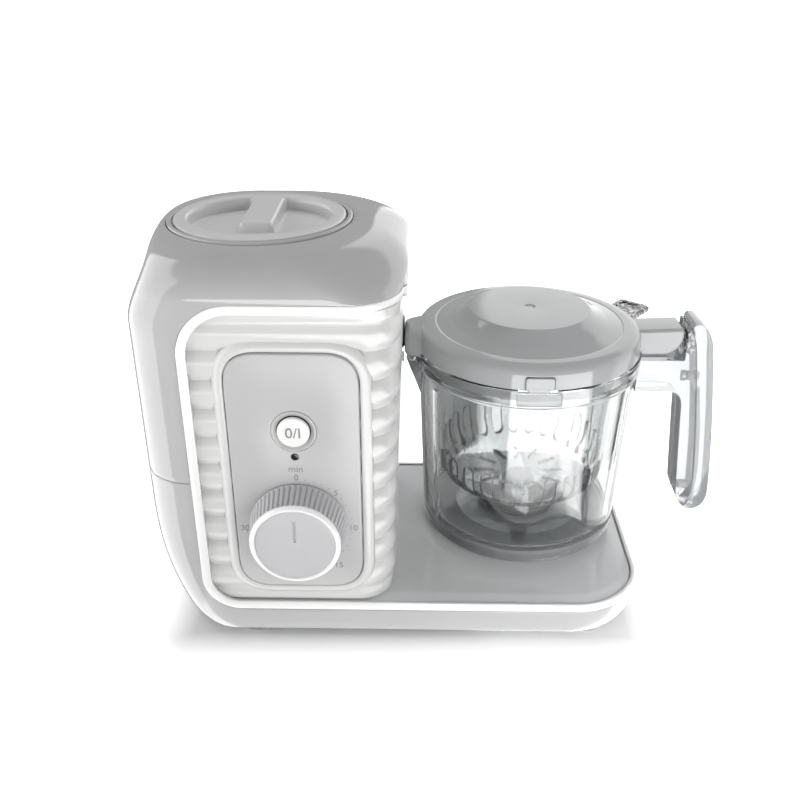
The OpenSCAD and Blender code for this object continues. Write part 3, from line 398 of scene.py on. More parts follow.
def face_out(bm):
    """Points all faces away from the middle of the piece."""
    bmesh.ops.recalc_face_normals(bm, faces=bm.faces)
    middle = sum((v.co for v in bm.verts), Vector()) / len(bm.verts)
    out = sum(f.calc_area() * f.normal.dot(f.calc_center_median() - middle) for f in bm.faces)
    if out < 0:
        bmesh.ops.reverse_faces(bm, faces=bm.faces)


def finish_piece(name, bm, material, body, replaced=(), sharp=SHARP, wall=0, edge=0):
    """Makes a bmesh a piece on its body, in place of the CAD nodes that it replaces. A wall
    grows inwards from its skin, and an edge is rounded where the skin ends."""
    bmesh.ops.remove_doubles(bm, verts=bm.verts, dist=MERGE)
    face_out(bm)
    mesh = bpy.data.meshes.new(name)
    bm.to_mesh(mesh)
    bm.free()
    mesh.shade_smooth()
    mesh.set_sharp_from_angle(angle=math.radians(sharp))
    mesh.materials.append(material)
    piece = add_object(name, mesh)
    if wall:
        made = piece.modifiers.new("wall", "SOLIDIFY")
        made.thickness = wall / 1000
        made.offset = -1
    if edge:
        made = piece.modifiers.new("edge", "BEVEL")
        made.width = edge / 1000
        made.segments = 2
        made.limit_method = "ANGLE"
        made.angle_limit = math.radians(50)
    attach(piece, body)
    if replaced:
        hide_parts(*replaced)
    return piece


def carve(piece, cutters, operation="DIFFERENCE", lining=None):
    """Cuts or joins bmeshes with a finished piece and applies its wall; the cut faces can take
    their own material."""
    for cutter in cutters:
        bmesh.ops.recalc_face_normals(cutter, faces=cutter.faces)
        mesh = bpy.data.meshes.new("cutter")
        cutter.to_mesh(mesh)
        cutter.free()
        if lining:
            mesh.materials.append(lining)
        tool = add_object("cutter", mesh)
        cut = piece.modifiers.new("cut", "BOOLEAN")
        cut.operation = operation
        cut.solver = "EXACT"
        cut.material_mode = "TRANSFER" if lining else "INDEX"
        cut.object = tool
        shaped = bpy.data.meshes.new_from_object(
            piece.evaluated_get(bpy.context.evaluated_depsgraph_get()))
        piece.modifiers.clear()
        piece.data = shaped
        bpy.data.objects.remove(tool)
    piece.data.shade_smooth()
    piece.data.set_sharp_from_angle(angle=math.radians(SHARP))


# ---- Tower and base: outer form ----


def tower_left(z):
    """x of the left wall, which tucks in below 50 mm and leans in at the head."""
    return LEFT + 15 * clamp((50 - z) / (50 - SHELL_Z)) ** 2.4 + 8.6 * smooth((z - 138) / 27)


def foot_tuck(z):
    """From 0 to 1 down the lowest 10 mm, where the walls round in to the bottom plate."""
    return clamp((SHELL_Z + 10 - z) / 10) ** 2


def edge_in(z):
    """How far the front and back walls stand in, at the head and at the foot."""
    return 21 * roll((z - WINDOW_TOP) / HEAD_RISE) + 2 * foot_tuck(z)


def tower_right(z):
    """x of the head's right wall, which hangs over the column."""
    return (CAP_X - 3.6 * clamp((WINDOW_TOP + 11 - z) / 11) ** 1.7
            - 24 * roll((z - WINDOW_TOP - 3) / 15))


def window_edge(z):
    """x of the window's left edge at height z, with its rounded corners."""
    if z > WINDOW_TOP - TOP_CORNER:
        up = min(TOP_CORNER, z - (WINDOW_TOP - TOP_CORNER))
        return WINDOW_X + TOP_CORNER - math.sqrt(TOP_CORNER**2 - up**2)
    if z < WINDOW_Z + FOOT_CORNER:
        down = min(FOOT_CORNER, WINDOW_Z + FOOT_CORNER - z)
        return WINDOW_X + FOOT_CORNER - math.sqrt(FOOT_CORNER**2 - down**2)
    return WINDOW_X


def left_path(x0, y0, y1, r, start, count):
    """From the front at x = start, round the left corners, to the back at x = start."""
    middle = x0 + r
    sweep = math.acos(max(-1, (min(start, middle) - middle) / r))
    path = [(start, y0)] if start > middle else []
    path += arc(middle, y0 + r, r, -sweep, -math.pi, 24)
    path += arc(middle, y1 - r, r, math.pi, sweep, 24)
    if start > middle:
        path.append((start, y1))
    return resample(path, count)


def right_path(x1, y0, y1, r, start, count):
    """From the back at x = start, round the right corners, to the front at x = start."""
    path = [(start, y1)]
    path += arc(x1 - r, y1 - r, r, math.pi / 2, 0, 32)
    path += arc(x1 - r, y0 + r, r, 0, -math.pi / 2, 32)
    path.append((start, y0))
    return resample(path, count)


AROUND_LEFT, AROUND_RIGHT = 110, 130


def corner_r(z):
    """Radius of the left corners, which grows towards the round collar."""
    return TOWER_R + (CAP_R - TOWER_R) * roll((z - WINDOW_TOP) / HEAD_RISE)


def cap_corner(z):
    """Radius of the head's right corners."""
    return COLUMN_R + (CAP_R - COLUMN_R) * smooth((z - WINDOW_TOP + 6) / 18)


def left_ring(z, start):
    """Open ring of the left wall alone, between the window's two edges."""
    path = left_path(tower_left(z), FRONT + edge_in(z), BACK - edge_in(z), corner_r(z), start,
                     AROUND_LEFT)
    return [(x, y, z) for x, y in path]


def cap_ring(z, start):
    """Closed ring of the head."""
    path = right_path(tower_right(z), FRONT + edge_in(z), BACK - edge_in(z), cap_corner(z), start,
                      AROUND_RIGHT)
    return left_ring(z, start) + [(x, y, z) for x, y in path[1:-1]]


def base_ring(z, start, inset=0.0):
    """Closed ring of the base."""
    y0, y1 = FRONT + edge_in(z) + inset, BACK - edge_in(z) - inset
    end = BASE_END - 3 * foot_tuck(z) - inset
    left = left_path(tower_left(z) + inset, y0, y1, TOWER_R - inset, start, AROUND_LEFT)
    right = right_path(end, y0, y1, BASE_R - inset, start, AROUND_RIGHT)
    return [(x, y, z) for x, y in left] + [(x, y, z) for x, y in right[1:-1]]


# Lower shell: the base's tray is a closed band, and above it a wall stands round the left only
bm = bmesh.new()
foot_start = window_edge(WINDOW_Z)
tray = [SHELL_Z + up for up in (0, 0.6, 1.5, 3, 5, 7.5, 10)] + [WINDOW_Z - 1.5, WINDOW_Z - 0.15]
rings = [base_ring(SHELL_Z, foot_start, 3.0)] + [base_ring(z, foot_start) for z in tray]
skin(bm, rings)
band = [WINDOW_Z + FOOT_CORNER * (1 - math.cos(math.radians(a))) for a in range(0, 91, 6)]
band = [WINDOW_Z - 0.15] + band[1:] + spread(14, SEAM_Z - SEAM_GAP, 30)
skin(bm, [left_ring(z, window_edge(z)) for z in band], closed=False)
finish_piece("lower_shell_skin", bm, grey_abs, "housing", ["lower_shell"],
             wall=SHELL_WALL, edge=SHELL_EDGE)

# Upper cover: the left wall, then the cap that closes over the column and ends at the collar
bm = bmesh.new()
wall_heights = spread(SEAM_Z + SEAM_GAP, WINDOW_TOP - TOP_CORNER, 26) + [
    WINDOW_TOP - TOP_CORNER + TOP_CORNER * math.sin(math.radians(a)) for a in range(4, 91, 4)]
skin(bm, [left_ring(z, window_edge(z)) for z in wall_heights], closed=False)
head_start = window_edge(WINDOW_TOP)
cap_heights = [WINDOW_TOP + HEAD_RISE * math.sin(math.radians(a)) for a in range(0, 91, 3)]
rings = [cap_ring(z, head_start) for z in cap_heights]


def on_circle(ring, radius, z):
    """The points of a ring, moved onto a circle round the tank's axis."""
    out = []
    for x, y, _ in ring:
        a = math.atan2(y - TANK[1], x - TANK[0])
        out.append((TANK[0] + radius * math.cos(a), TANK[1] + radius * math.sin(a), z))
    return out


rings.append(on_circle(rings[-1], 43.6, CAP_Z + 0.1))
rings.append(on_circle(rings[-1], 42.9, CAP_Z - 0.2))
skin(bm, rings)
finish_piece("upper_cover_skin", bm, grey_abs, "housing", ["upper_cover"],
             wall=SHELL_WALL, edge=SHELL_EDGE)

# Collar round the tank's lid
bm = turn(soften([(38.6, 165.4), (42.6, 165.4), (42.6, 171, 0.9), (40.4, 171, 0.5), (40.4, 167.8),
                  (38.6, 167.8)]), (*TANK, 0), steps=FINE_STEPS)
finish_piece("collar_ring", bm, grey_abs, "housing", ["tank_collar"])

# ---- Trim strip: a rounded bead round the whole window ----


BEAD_CORNER = 24.8
TOP_POINTS, FOOT_POINTS, SIDE_POINTS, CORNER_POINTS = 130, 170, 24, 16


def trim_stations():
    """Points along the window's edge as (point, way into the window, way out of the wall)."""
    out = []
    top = [(p, (0, 0, -1)) for p in right_path(tower_right(WINDOW_TOP), FRONT, BACK, BEAD_CORNER,
                                               WINDOW_X + TOP_CORNER, TOP_POINTS)]
    foot = [(p, (0, 0, 1)) for p in right_path(BASE_END, FRONT, BACK, BASE_R,
                                               WINDOW_X + FOOT_CORNER, FOOT_POINTS)]

    def walk(path, z):
        for i, (p, into) in enumerate(path):
            before, after = path[max(0, i - 1)][0], path[min(len(path) - 1, i + 1)][0]
            along = Vector((after[0] - before[0], after[1] - before[1], 0)).normalized()
            out.append(((p[0], p[1], z), into, (-along.y, along.x, 0)))

    def corner(cx, cz, r, start, stop, y, outwards):
        for i in range(1, CORNER_POINTS):
            a = math.radians(start + (stop - start) * i / CORNER_POINTS)
            out.append(((cx + r * math.cos(a), y, cz + r * math.sin(a)),
                        (-math.cos(a), 0, -math.sin(a)), (0, outwards, 0)))

    def upright(z0, z1, y, outwards):
        for z in spread(z0, z1, SIDE_POINTS):
            out.append(((WINDOW_X, y, z), (1, 0, 0), (0, outwards, 0)))

    low, high = WINDOW_Z + FOOT_CORNER, WINDOW_TOP - TOP_CORNER
    walk(top, WINDOW_TOP)
    corner(WINDOW_X + TOP_CORNER, high, TOP_CORNER, 90, 180, FRONT, -1)
    upright(high, low, FRONT, -1)
    corner(WINDOW_X + FOOT_CORNER, low, FOOT_CORNER, 180, 270, FRONT, -1)
    walk(list(reversed(foot)), WINDOW_Z)
    corner(WINDOW_X + FOOT_CORNER, low, FOOT_CORNER, 270, 180, BACK, 1)
    upright(low, high, BACK, 1)
    corner(WINDOW_X + TOP_CORNER, high, TOP_CORNER, 180, 90, BACK, 1)
    return out


bead = soften([(0.15, -1.8), (0.15, 0.1, 0.4), (2.2, 0.55, 1.4), (4.35, 0.1, 0.4), (4.35, -1.8)],
              closed=False, steps=4)
base_middle = Vector((-60, MID_Y, 0))
strands = [[] for _ in bead]
for station in trim_stations():
    point, into, away = (Vector(part) for part in station)
    if away.dot(point - base_middle) < 0:
        away = -away
    for strand, (across, up) in zip(strands, bead):
        strand.append(tuple(point + into * across + away * up))
bm = bmesh.new()
skin(bm, strands)
finish_piece("trim_bead", bm, trim_abs, "housing", ["trim_strip"], wall=0.5)

# ---- Column with its ribs ----

RIB_PITCH, RIB_DEPTH, CREST_Z = 13.9, 2.4, 26.0
COLUMN_START, COLUMN_CORNER = -156.5, 16


def rib(z):
    """How far the ribs stand out: round lobes, sharp valleys, and a fade at the top and foot."""
    count = (z - CREST_Z) / RIB_PITCH
    lobe = 1 - abs(2 * (count - round(count))) ** 1.9
    fade = smooth((z - 1) / 8) * smooth((COLUMN_TOP - z) / 9)
    return RIB_DEPTH * (lobe - 0.6) * fade


def column_x(z):
    """x of the column's right side, which leans out upwards."""
    return -67 + 4 * z / COLUMN_TOP


def column_ring(z):
    """Open ring of the column, from its back edge round the right corners to its front edge."""
    out = rib(z)
    path = right_path(column_x(z) + out, COLUMN_Y - out, COLUMN_BACK + out, COLUMN_CORNER + out,
                      COLUMN_START, 120)
    return [(x, y, z) for x, y in path]


bm = bmesh.new()
skin(bm, [column_ring(z) for z in spread(0, COLUMN_TOP + 1, 300)], closed=False)
column = finish_piece("ribbed_column", bm, white_abs, "housing", ["column_cover"],
                      wall=1.6)
# the button travels in a bore behind the panel
bore = bmesh.new()
bmesh.ops.create_cone(bore, cap_ends=True, segments=48, radius1=0.009, radius2=0.009, depth=0.03,
                      matrix=facing_front(PANEL_X, PANEL_Y, BUTTON_Z))
carve(column, [bore])

# ---- Control panel ----


def panel_outline(grow):
    """The panel's outline, grown all round."""
    w, h, cut = 29 + grow, 60.5 + grow, 15 + grow
    corners = [(-w, -h, cut), (w, -h, cut), (w, h, cut), (-w, h, cut)]
    path = soften(corners, steps=16)
    path = resample(path + [path[0]], 145)[:-1]
    return [(PANEL_X + x, PANEL_Z + z) for x, z in path]


def ring_at(outline, y):
    """An outline of (x, z) on an upright plane."""
    return [(x, y, z) for x, z in outline]


def ring_at_height(outline, z):
    """An outline of (x, y) on a level plane."""
    return [(x, y, z) for x, y in outline]


def button_hole(radius, y):
    """The panel's points, moved onto a circle round the button."""
    out = []
    for x, z in panel_outline(0):
        a = math.atan2(z - BUTTON_Z, x - PANEL_X)
        out.append((PANEL_X + radius * math.cos(a), y, BUTTON_Z + radius * math.sin(a)))
    return out


bm = bmesh.new()
plate = [(0, 4.1), (0, 1.1), (-0.15, 0.6), (-0.5, 0.2), (-1.2, 0)]
hole = [(10.6, 0), (10.2, 0.15), (10.05, 0.6), (10.05, 3)]
rings = [ring_at(panel_outline(grow), PANEL_Y + y) for grow, y in plate]
skin(bm, rings + [button_hole(radius, PANEL_Y + y) for radius, y in hole])
finish_piece("panel_plate", bm, panel_abs, "housing", ["control_panel"], sharp=30)

# soft white lip that frames the panel
bm = bmesh.new()
lip = [(0.35, 2.6), (0.35, 1.2), (0.7, 0.6), (1.5, 0.35), (2.6, 0.5), (3.8, 1.1), (5.0, 2.2), (5.6, 3.2)]
skin(bm, [ring_at(panel_outline(grow), PANEL_Y + y) for grow, y in lip])
finish_piece("panel_surround", bm, white_abs, "housing", wall=0.4)

# ring round the button, with a groove
bm = turn(soften([(7.6, 0), (10.0, 0), (10.0, 4.7, 0.3), (9.2, 4.9, 0.3), (8.4, 4.2, 0.4),
                  (7.6, 3.8, 0.2)]), (PANEL_X, PANEL_Y + 4.6, BUTTON_Z), "front")
finish_piece("button_ring", bm, panel_abs, "housing", ["button_bezel"])

# button, and the lamp under it
bm = turn(soften([(0, 2.1), (7.2, 2.1), (7.2, 3.6, 0.7), (4, 4.1, 2), (0, 4.3)], steps=5),
          (PANEL_X, PANEL_Y + 2.4, BUTTON_Z), "front")
finish_piece("button_cap", bm, button_abs, "power_switch", ["power_button"])
bm = turn(soften([(0, 0), (1.9, 0), (1.9, 2.6, 0.5), (0, 2.9)]), (PANEL_X, PANEL_Y + 2.4, LAMP_Z),
          "front", steps=SMALL_STEPS)
finish_piece("lamp_dome", bm, lens, "housing", ["indicator_lens"])

# ---- Timer dial ----

RIDGES = 56
RIDGE_POINTS = 8 * RIDGES
DIAL_BACK = PANEL_Y - 0.5
DIAL_FRONT = DIAL_BACK - 14


def ridge_ring(radius, depth, y):
    """A ring round the dial whose grooves bite in by depth."""
    out = []
    for i in range(RIDGE_POINTS):
        a = 2 * math.pi * i / RIDGE_POINTS
        reach = radius - depth * max(0.0, math.cos(RIDGES * a)) ** 0.7
        out.append((PANEL_X + reach * math.cos(a), y, DIAL_Z + reach * math.sin(a)))
    return out


bm = bmesh.new()
grip = [(10, 0, 0), (21.6, 0, 0), (22.5, 0, 0.5), (22.5, 0, 1.2), (22.4, 0.8, 1.8), (20.7, 0.8, 13.2),
        (20.5, 0, 13.9), (17.9, 0, 14.0)]
skin(bm, [ridge_ring(radius, depth, DIAL_BACK - out) for radius, depth, out in grip])
finish_piece("dial_grip", bm, dial_abs, "timer_dial", ["dial_knob"], sharp=50)
bm = turn(soften([(18.05, 0), (20.45, 0), (20.35, 0.7, 0.2), (19.2, 1.9, 0.4), (18.4, 1.95, 0.3),
                  (18.05, 1.3)]), (PANEL_X, DIAL_FRONT, DIAL_Z), "front", steps=FINE_STEPS)
finish_piece("dial_rim", bm, trim_abs, "timer_dial", ["dial_ring"])
bm = turn([(0, 0), (17.95, 0), (17.95, 1.1), (17.7, 1.3), (0, 1.3)], (PANEL_X, DIAL_FRONT, DIAL_Z),
          "front", steps=FINE_STEPS)
face = finish_piece("dial_plate", bm, dial_abs, "timer_dial", ["dial_face"])

# pointer groove in the face
half, low, high = 0.65, DIAL_Z + 1.5, DIAL_Z + 13
pointer = slab(soften([(PANEL_X - half, low, 0.6), (PANEL_X + half, low, 0.6),
                       (PANEL_X + half, high, 0.6), (PANEL_X - half, high, 0.6)]),
               DIAL_FRONT - 1.6, DIAL_FRONT - 0.7, 0)
carve(face, [pointer])

# ---- Printed scale ----

PRINT_Y, DOTS_R = PANEL_Y - 0.03, 24.6


def printed(name, words, x, z, y, size, body):
    """Words printed on a plane that faces the front, 0.1 mm thick."""
    curve = bpy.data.curves.new(name, "FONT")
    curve.body = words
    curve.size = size / 1000
    curve.align_x = "CENTER"
    curve.align_y = "CENTER"
    curve.extrude = 0.00005
    text = add_object(name, curve)
    mesh = bpy.data.meshes.new_from_object(text.evaluated_get(bpy.context.evaluated_depsgraph_get()))
    bpy.data.objects.remove(text)
    mesh.transform(facing_front(x, y, z))
    mesh.materials.clear()
    mesh.materials.append(ink)
    piece = add_object(name, mesh)
    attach(piece, body)


for words, dx, dz in [("0", 0, 25.6), ("5", 17.5, 17.6), ("10", 24.9, -1.4), ("15", 17.7, -22.6),
                      ("20", 0, -27), ("25", -17.7, -22.6), ("30", -24.9, -2.0)]:
    printed("scale_" + words, words, PANEL_X + dx, DIAL_Z + dz, PRINT_Y, 4.3, "housing")
printed("scale_unit", "min", PANEL_X, DIAL_Z + 29.9, PRINT_Y, 4.6, "housing")
printed("button_mark", "0/I", PANEL_X, BUTTON_Z, PANEL_Y - 1.93, 7.0, "power_switch")
# a dot for each minute between the numbers, 9 degrees apart
bm = bmesh.new()
for minute in range(31):
    if minute % 5:
        a = math.radians(90 - 9 * minute)
        spot = facing_front(PANEL_X + DOTS_R * math.cos(a), PRINT_Y, DIAL_Z + DOTS_R * math.sin(a))
        bmesh.ops.create_circle(bm, cap_ends=True, segments=12, radius=0.0003, matrix=spot)
finish_piece("scale_dots", bm, ink, "housing")

# ---- Deck ----

bm = bmesh.new()
edge_steps = [(2.1, -3.0), (2.1, -1.7), (2.5, -1.4), (3.1, -1.2), (7.2, -0.22), (7.9, -0.08),
              (8.8, -0.02), (10, 0)]
rings = [[(x, y, z) for x, y, _ in base_ring(0, foot_start, inset)] for inset, z in edge_steps]
skin(bm, rings, lid_first=True, lid_last=True)
finish_piece("deck_skin", bm, deck_abs, "housing", ["deck_plate"], sharp=50)

# ---- Tank lid with one finger recess round its grip bar ----

LID_TOP = 171.5
RECESS_SQUASH, RECESS_CORNER = 0.88, 4.5


def recess_outline(grow):
    """Horseshoe round the grip bar, which stands out from the back of the ring."""
    r, half, tip = 33.4 + grow, 7.5 - grow, -15.4 + grow
    ends = math.degrees(math.asin((half + RECESS_CORNER) / r))
    path = [(r * math.cos(math.radians(a)), RECESS_SQUASH * r * math.sin(math.radians(a)))
            for a in spread(90 - ends, -270 + ends, 90)]
    back = RECESS_SQUASH * r - 0.6
    path += [(-half, back, RECESS_CORNER), (-half, tip, 3.2 - grow), (half, tip, 3.2 - grow),
             (half, back, RECESS_CORNER)]
    path = soften(path, steps=8)
    return [(TANK[0] + x, TANK[1] + y) for x, y in resample(path + [path[0]], 241)[:-1]]


def lid_ring(radius, z):
    """Circle round the tank's axis."""
    return ring_at_height(arc(*TANK, radius, 0, 2 * math.pi, 120)[:-1], z)


bm = bmesh.new()
skin(bm, [lid_ring(37, 166), lid_ring(39.6, 168.4), lid_ring(39.6, LID_TOP - 0.8),
          lid_ring(39.35, LID_TOP - 0.25), lid_ring(38.8, LID_TOP)], lid_first=True)
drop = [(1.3, 0), (0.6, -0.2), (0.1, -0.8), (-0.25, -2), (-0.8, -7), (-1.3, -10), (-2.2, -11.5),
        (-3.6, -12)]
skin(bm, [ring_at_height(recess_outline(grow), LID_TOP + z) for grow, z in drop], lid_last=True)
# the flat top lies between the outer ring and the recess
open_edges = [e for e in bm.edges if e.is_boundary]
bmesh.ops.triangle_fill(bm, use_beauty=True, edges=open_edges, normal=(0, 0, 1))
finish_piece("tank_lid_top", bm, tank_lid_abs, "tank_cap", ["tank_lid"], sharp=40)

# ---- Jar ----

wall_outside = [(46.5, 0, 0.5), (49, 0, 0.8), (51.35, 3, 1), (54.64, JAR_H - 2, 1)]
rim = [(RIM_R, JAR_H, 0.6), (RIM_R, RIM_Z, 0.6), (RIM_IN, RIM_Z, 0.6), (RIM_IN, JAR_H, 0.3)]
wall_inside = [(52.2, JAR_H, 0.6), (48.9, 8, 6)]
jar_floor = [(7, 8), (7, 9.5), (5, 9.5), (5, 5.5), (46.5, 5.5, 1)]
jar_profile = soften(wall_outside + rim + wall_inside + jar_floor, steps=5)
jar = finish_piece("clear_jar", turn(jar_profile, steps=ROUND_STEPS), jar_clear, "jar",
                   ["jar_body"])

# four upright ribs on the inside, which lean out with the wall
ribs = []
for angle in (28, 152, 208, 332):
    bm = bmesh.new()
    bmesh.ops.create_cone(bm, cap_ends=True, segments=20, radius1=0.0018, radius2=0.0018, depth=0.078)
    swing(bm, bm.verts, math.radians(2.1), "Y")
    bmesh.ops.translate(bm, verts=bm.verts, vec=(0.0507, 0, 0.047))
    swing(bm, bm.verts, math.radians(angle), "Z")
    bmesh.ops.translate(bm, verts=bm.verts, vec=at(0, 0, 0))
    ribs.append(bm)
carve(jar, ribs, "UNION")

# gasket let into the underside of the jar's floor; its grey also paints the dark band at the jar's foot,
# where shade and dark refraction in the glass lie
band = soften([(34, 0.3), (46.3, 0.3, 0.4), (46.3, 5.3), (47.8, 5.5), (47.8, 7.3, 0.3), (34, 7.3)])
finish_piece("jar_foot_gasket_and_shade", turn(band, steps=ROUND_STEPS), seal_rubber, "jar")

# spout under the lid's hood: a trough that leaves the wall at its root and opens upwards
SPOUT_ROOT = 52.6
bm = bmesh.new()
spout = []
for opened, z in [(0.0, 73), (0.35, 80), (0.7, 86.5), (1.0, 92.8)]:
    half, reach = 3 + 7 * opened, 54.2 + 7.3 * opened - SPOUT_ROOT
    spout.append([(-SPOUT_ROOT - reach * max(0, math.cos(math.radians(a))) ** 0.8,
                   half * math.sin(math.radians(a)), z) for a in range(-90, 91, 9)])
skin(bm, spout, closed=False)
finish_piece("jar_spout", bm, handle_smoke, "jar", wall=1.6)

# pad on the rim's front that the lid's latch drops over
bm = slab(soften([(-10.5, 94, 1.5), (10.5, 94, 1.5), (10.5, 100.6, 1), (-10.5, 100.6, 1)]),
          -57.6, -55.6, 0.5)
finish_piece("rim_pad", bm, rim_frost, "jar")

# ---- Handle ----

GRIP_IN, HANDLE_TOP, GRIP_LOW = 79.5, 115.4, 7.4


def bow(z):
    """Outer face of the handle, with both ends rounded."""
    return (100.9 - 11.5 * (max(0, z - 12) / 103) ** 1.4
            - 6 * roll((z - HANDLE_TOP + 14) / 14) - 7.4 * roll((GRIP_LOW + 12 - z) / 12))


def palm(z):
    """Inner face of the handle."""
    return GRIP_IN + 0.08 * max(0, 70 - z) + 8.4 * roll((GRIP_LOW + 12 - z) / 12)


def seam(z):
    """Where the clear grip meets the smoky back."""
    return max(palm(z) + 0.4, bow(z) - 8.5)


grip = [(55.2, 95.7, 0), (78.0, 95.7, 0.5), (78.0, 112.6, 0.8), (seam(112.4) - 0.1, 112.4, 0)]
grip += [(seam(z) - 0.1, z, 0) for z in spread(110, 10, 26)]
grip += [(palm(z), z, 0) for z in spread(10, 62, 26)]
grip += [(GRIP_IN - 0.3, 78, 20), (66, 78.1, 2), (55.0, 78.0, 0)]
bm = slab(soften(grip, steps=8), -9.4, 9.4, 2.4, 5)
finish_piece("handle_grip_shell", bm, handle_clear, "jar", ["handle_grip", "handle_arm"])
cover = [(bow(z), z) for z in spread(HANDLE_TOP, GRIP_LOW, 60)]
cover += [(palm(z), z) for z in spread(GRIP_LOW + 0.3, 9.4, 4)]
cover += [(seam(z) + 0.1, z) for z in spread(9.8, 112.8, 40)]
cover += [(GRIP_IN + 0.5, 114), (GRIP_IN + 1.6, 115.2)]
bm = slab(cover, -10, 10, 2.6, 5)
finish_piece("handle_back", bm, handle_smoke, "jar", ["handle_cover"])

# patterned catch block behind the lid's arm
bm = slab(soften([(77.9, 99, 0.5), (82.4, 99, 0.5), (81.6, 112, 0.8), (77.9, 112, 0.5)]),
          -8.4, 8.4, 0.6, 2)
finish_piece("handle_catch", bm, tab_clear, "jar")

# grey core plate and screw bosses that show through the clear grip
core = [(85.9, 80), (88.3, 57), (90.2, 32), (91.4, 12), (94.3, 10), (94.4, 32), (92.0, 57),
        (88.4, 80)]
bm = slab(core, -6.5, 6.5, 0.5, 2)
finish_piece("handle_core", bm, core_abs, "jar")
for index, z in enumerate((20, 85)):
    bm = turn(soften([(0, 0), (3.0, 0, 0.2), (3.0, 2.2, 0.6), (0, 2.6)]), (palm(z) - 0.1, 0, z), "X",
              steps=SMALL_STEPS)
    # both screws are one CAD node, which the first of them replaces
    names = ["handle_screws"] if index == 0 else []
    finish_piece(f"handle_screw_{index}", bm, zinc_steel, "jar", names)
    bm = turn(soften([(1.6, 2.8), (2.6, 2.8, 0.2), (2.6, 8.6, 0.2), (1.6, 8.6)]), (palm(z), 0, z), "X",
              steps=SMALL_STEPS)
    finish_piece(f"handle_boss_{index}", bm, core_abs, "jar")

# ---- Lid ----

skirt = [(48.5, 95.8), (51.8, 95.8, 0.5), (51.8, 101.1), (55.6, 101.35, 0.3), (56.0, 101.6, 0.3),
         (56.0, 108.0, 2.4)]
shoulder = [(55.0, 111.3, 1.8), (51.4, 112.7, 1.6), (46.9, 113.0, 0.25), (46.2, 112.8, 0.2)]
disc = [(39.4, 114.9, 0.4), (38.6, 115.2, 0.4), (34.0, 117.4, 2), (30.3, 120.1, 0.5), (29.6, 120.5, 0.3),
        (2.8, 120.7, 0.3), (2.2, 120.2, 0.3), (0, 120.1)]
underside = [(0, 117.5), (28, 117.5), (38, 112), (49, 108)]
lid_profile = soften(skirt + shoulder + disc + underside, steps=4)
finish_piece("lid_shell", turn(lid_profile, steps=ROUND_STEPS), lid_abs, "jar_lid",
             ["lid_body"], sharp=18)
band = soften([(51.9, 95.3), (53.6, 95.3, 0.4), (53.85, 96.4, 0.3), (53.85, 100.4, 0.3), (53.3, 101.0, 0.3),
               (51.9, 101.0)])
finish_piece("lid_seal_band", turn(band, steps=ROUND_STEPS), seal_rubber, "lid_ring",
             ["lid_seal"])

# steam hood: it grows out of the lid's shoulder and narrows towards the tower
bm = bmesh.new()
sections = []
for x, half, low, high in [(-62.2, 9, 99.5, 108.4), (-62.1, 11.4, 98.2, 109.8), (-61.3, 13.3, 97.2, 110.6),
                           (-59, 14.6, 96.6, 111.2), (-55.5, 16, 96.2, 111.8), (-51, 17.5, 96.1, 112.4),
                           (-46, 18.4, 96.1, 112.7), (-41, 18.4, 96.1, 112.7)]:
    ring = []
    for i in range(72):
        c, up = math.cos(math.pi * i / 36), math.sin(math.pi * i / 36)
        ring.append((x, half * math.copysign(abs(c) ** 0.75, c),
                     (low + high) / 2 + (high - low) / 2 * math.copysign(abs(up) ** 0.75, up)))
    sections.append(ring)
skin(bm, sections, lid_first=True, lid_last=True)
finish_piece("steam_hood", bm, lid_abs, "jar_lid", sharp=50)

# arm that drops onto the handle
arm = [(48, 111.2), (66, 112.1), (75.2, 112.4, 0.8), (76.6, 111.0, 1)]
arm += [(66.6 + 10 * math.cos(math.radians(a)), 108.5 + 10.2 * math.sin(math.radians(a)))
        for a in range(0, -91, -9)]
arm += [(57.2, 98.2), (50, 104)]
bm = slab(soften(arm), -8.8, 8.8, 3.4, 6)
finish_piece("lid_arm", bm, lid_abs, "jar_lid")

LATCH_BACK = -55.0


def latch(half, low, high, low_cut, high_cut, front, edge):
    """A plate on the lid's front, centred on the jar."""
    corners = [(-half, low, low_cut), (half, low, low_cut), (half, high, high_cut), (-half, high, high_cut)]
    return slab(soften(corners), front, LATCH_BACK, edge)


# latch: a tab outlined by a near-black plate behind it, painted shade for its gap, over a slot
bm = latch(6.9, 101.7, 108.3, 0.8, 1.6, -56.2, 0.05)
finish_piece("latch_gap_painted_shade", bm, dark_abs_and_gap_shade, "jar_lid")
bm = latch(6.5, 101.7, 107.9, 0.8, 1.4, -56.6, 0.3)
finish_piece("latch_plate", bm, lid_abs, "jar_lid")
bm = latch(4.8, 100.9, 102.9, 0.3, 0.5, -56.72, 0.2)
finish_piece("latch_slot", bm, panel_abs, "jar_lid", ["lid_lock_tab"])

# clear lifting tab at the back right
TAB_HALF, TAB_LONG, TAB_TURN = 9, 22, math.radians(51)
tab_outline = soften([(-TAB_HALF, 0), (TAB_HALF, 0), (TAB_HALF, TAB_LONG, 3), (-TAB_HALF, TAB_LONG, 3)],
                     steps=5)


def tab_ring(inset, z):
    """The tab's outline, pulled in and turned to its place; its root lies inside the lid."""
    out = []
    for across, along in tab_outline:
        across *= (TAB_HALF - inset) / TAB_HALF
        along = along * (TAB_LONG - inset) / TAB_LONG - TAB_LONG
        x = 60.9 + along * math.cos(TAB_TURN) - across * math.sin(TAB_TURN)
        y = 35 + along * math.sin(TAB_TURN) + across * math.cos(TAB_TURN)
        out.append((x, y, z))
    return out


bm = bmesh.new()
tab_steps = [(0.8, 107.0), (0, 107.6), (0, 109.2), (0.8, 110.0), (3.0, 110.0), (3.4, 109.4)]
skin(bm, [tab_ring(inset, z) for inset, z in tab_steps], lid_first=True, lid_last=True)
finish_piece("lift_tab", bm, tab_clear, "jar_lid", ["lid_tab"])

# ---- Steam basket ----

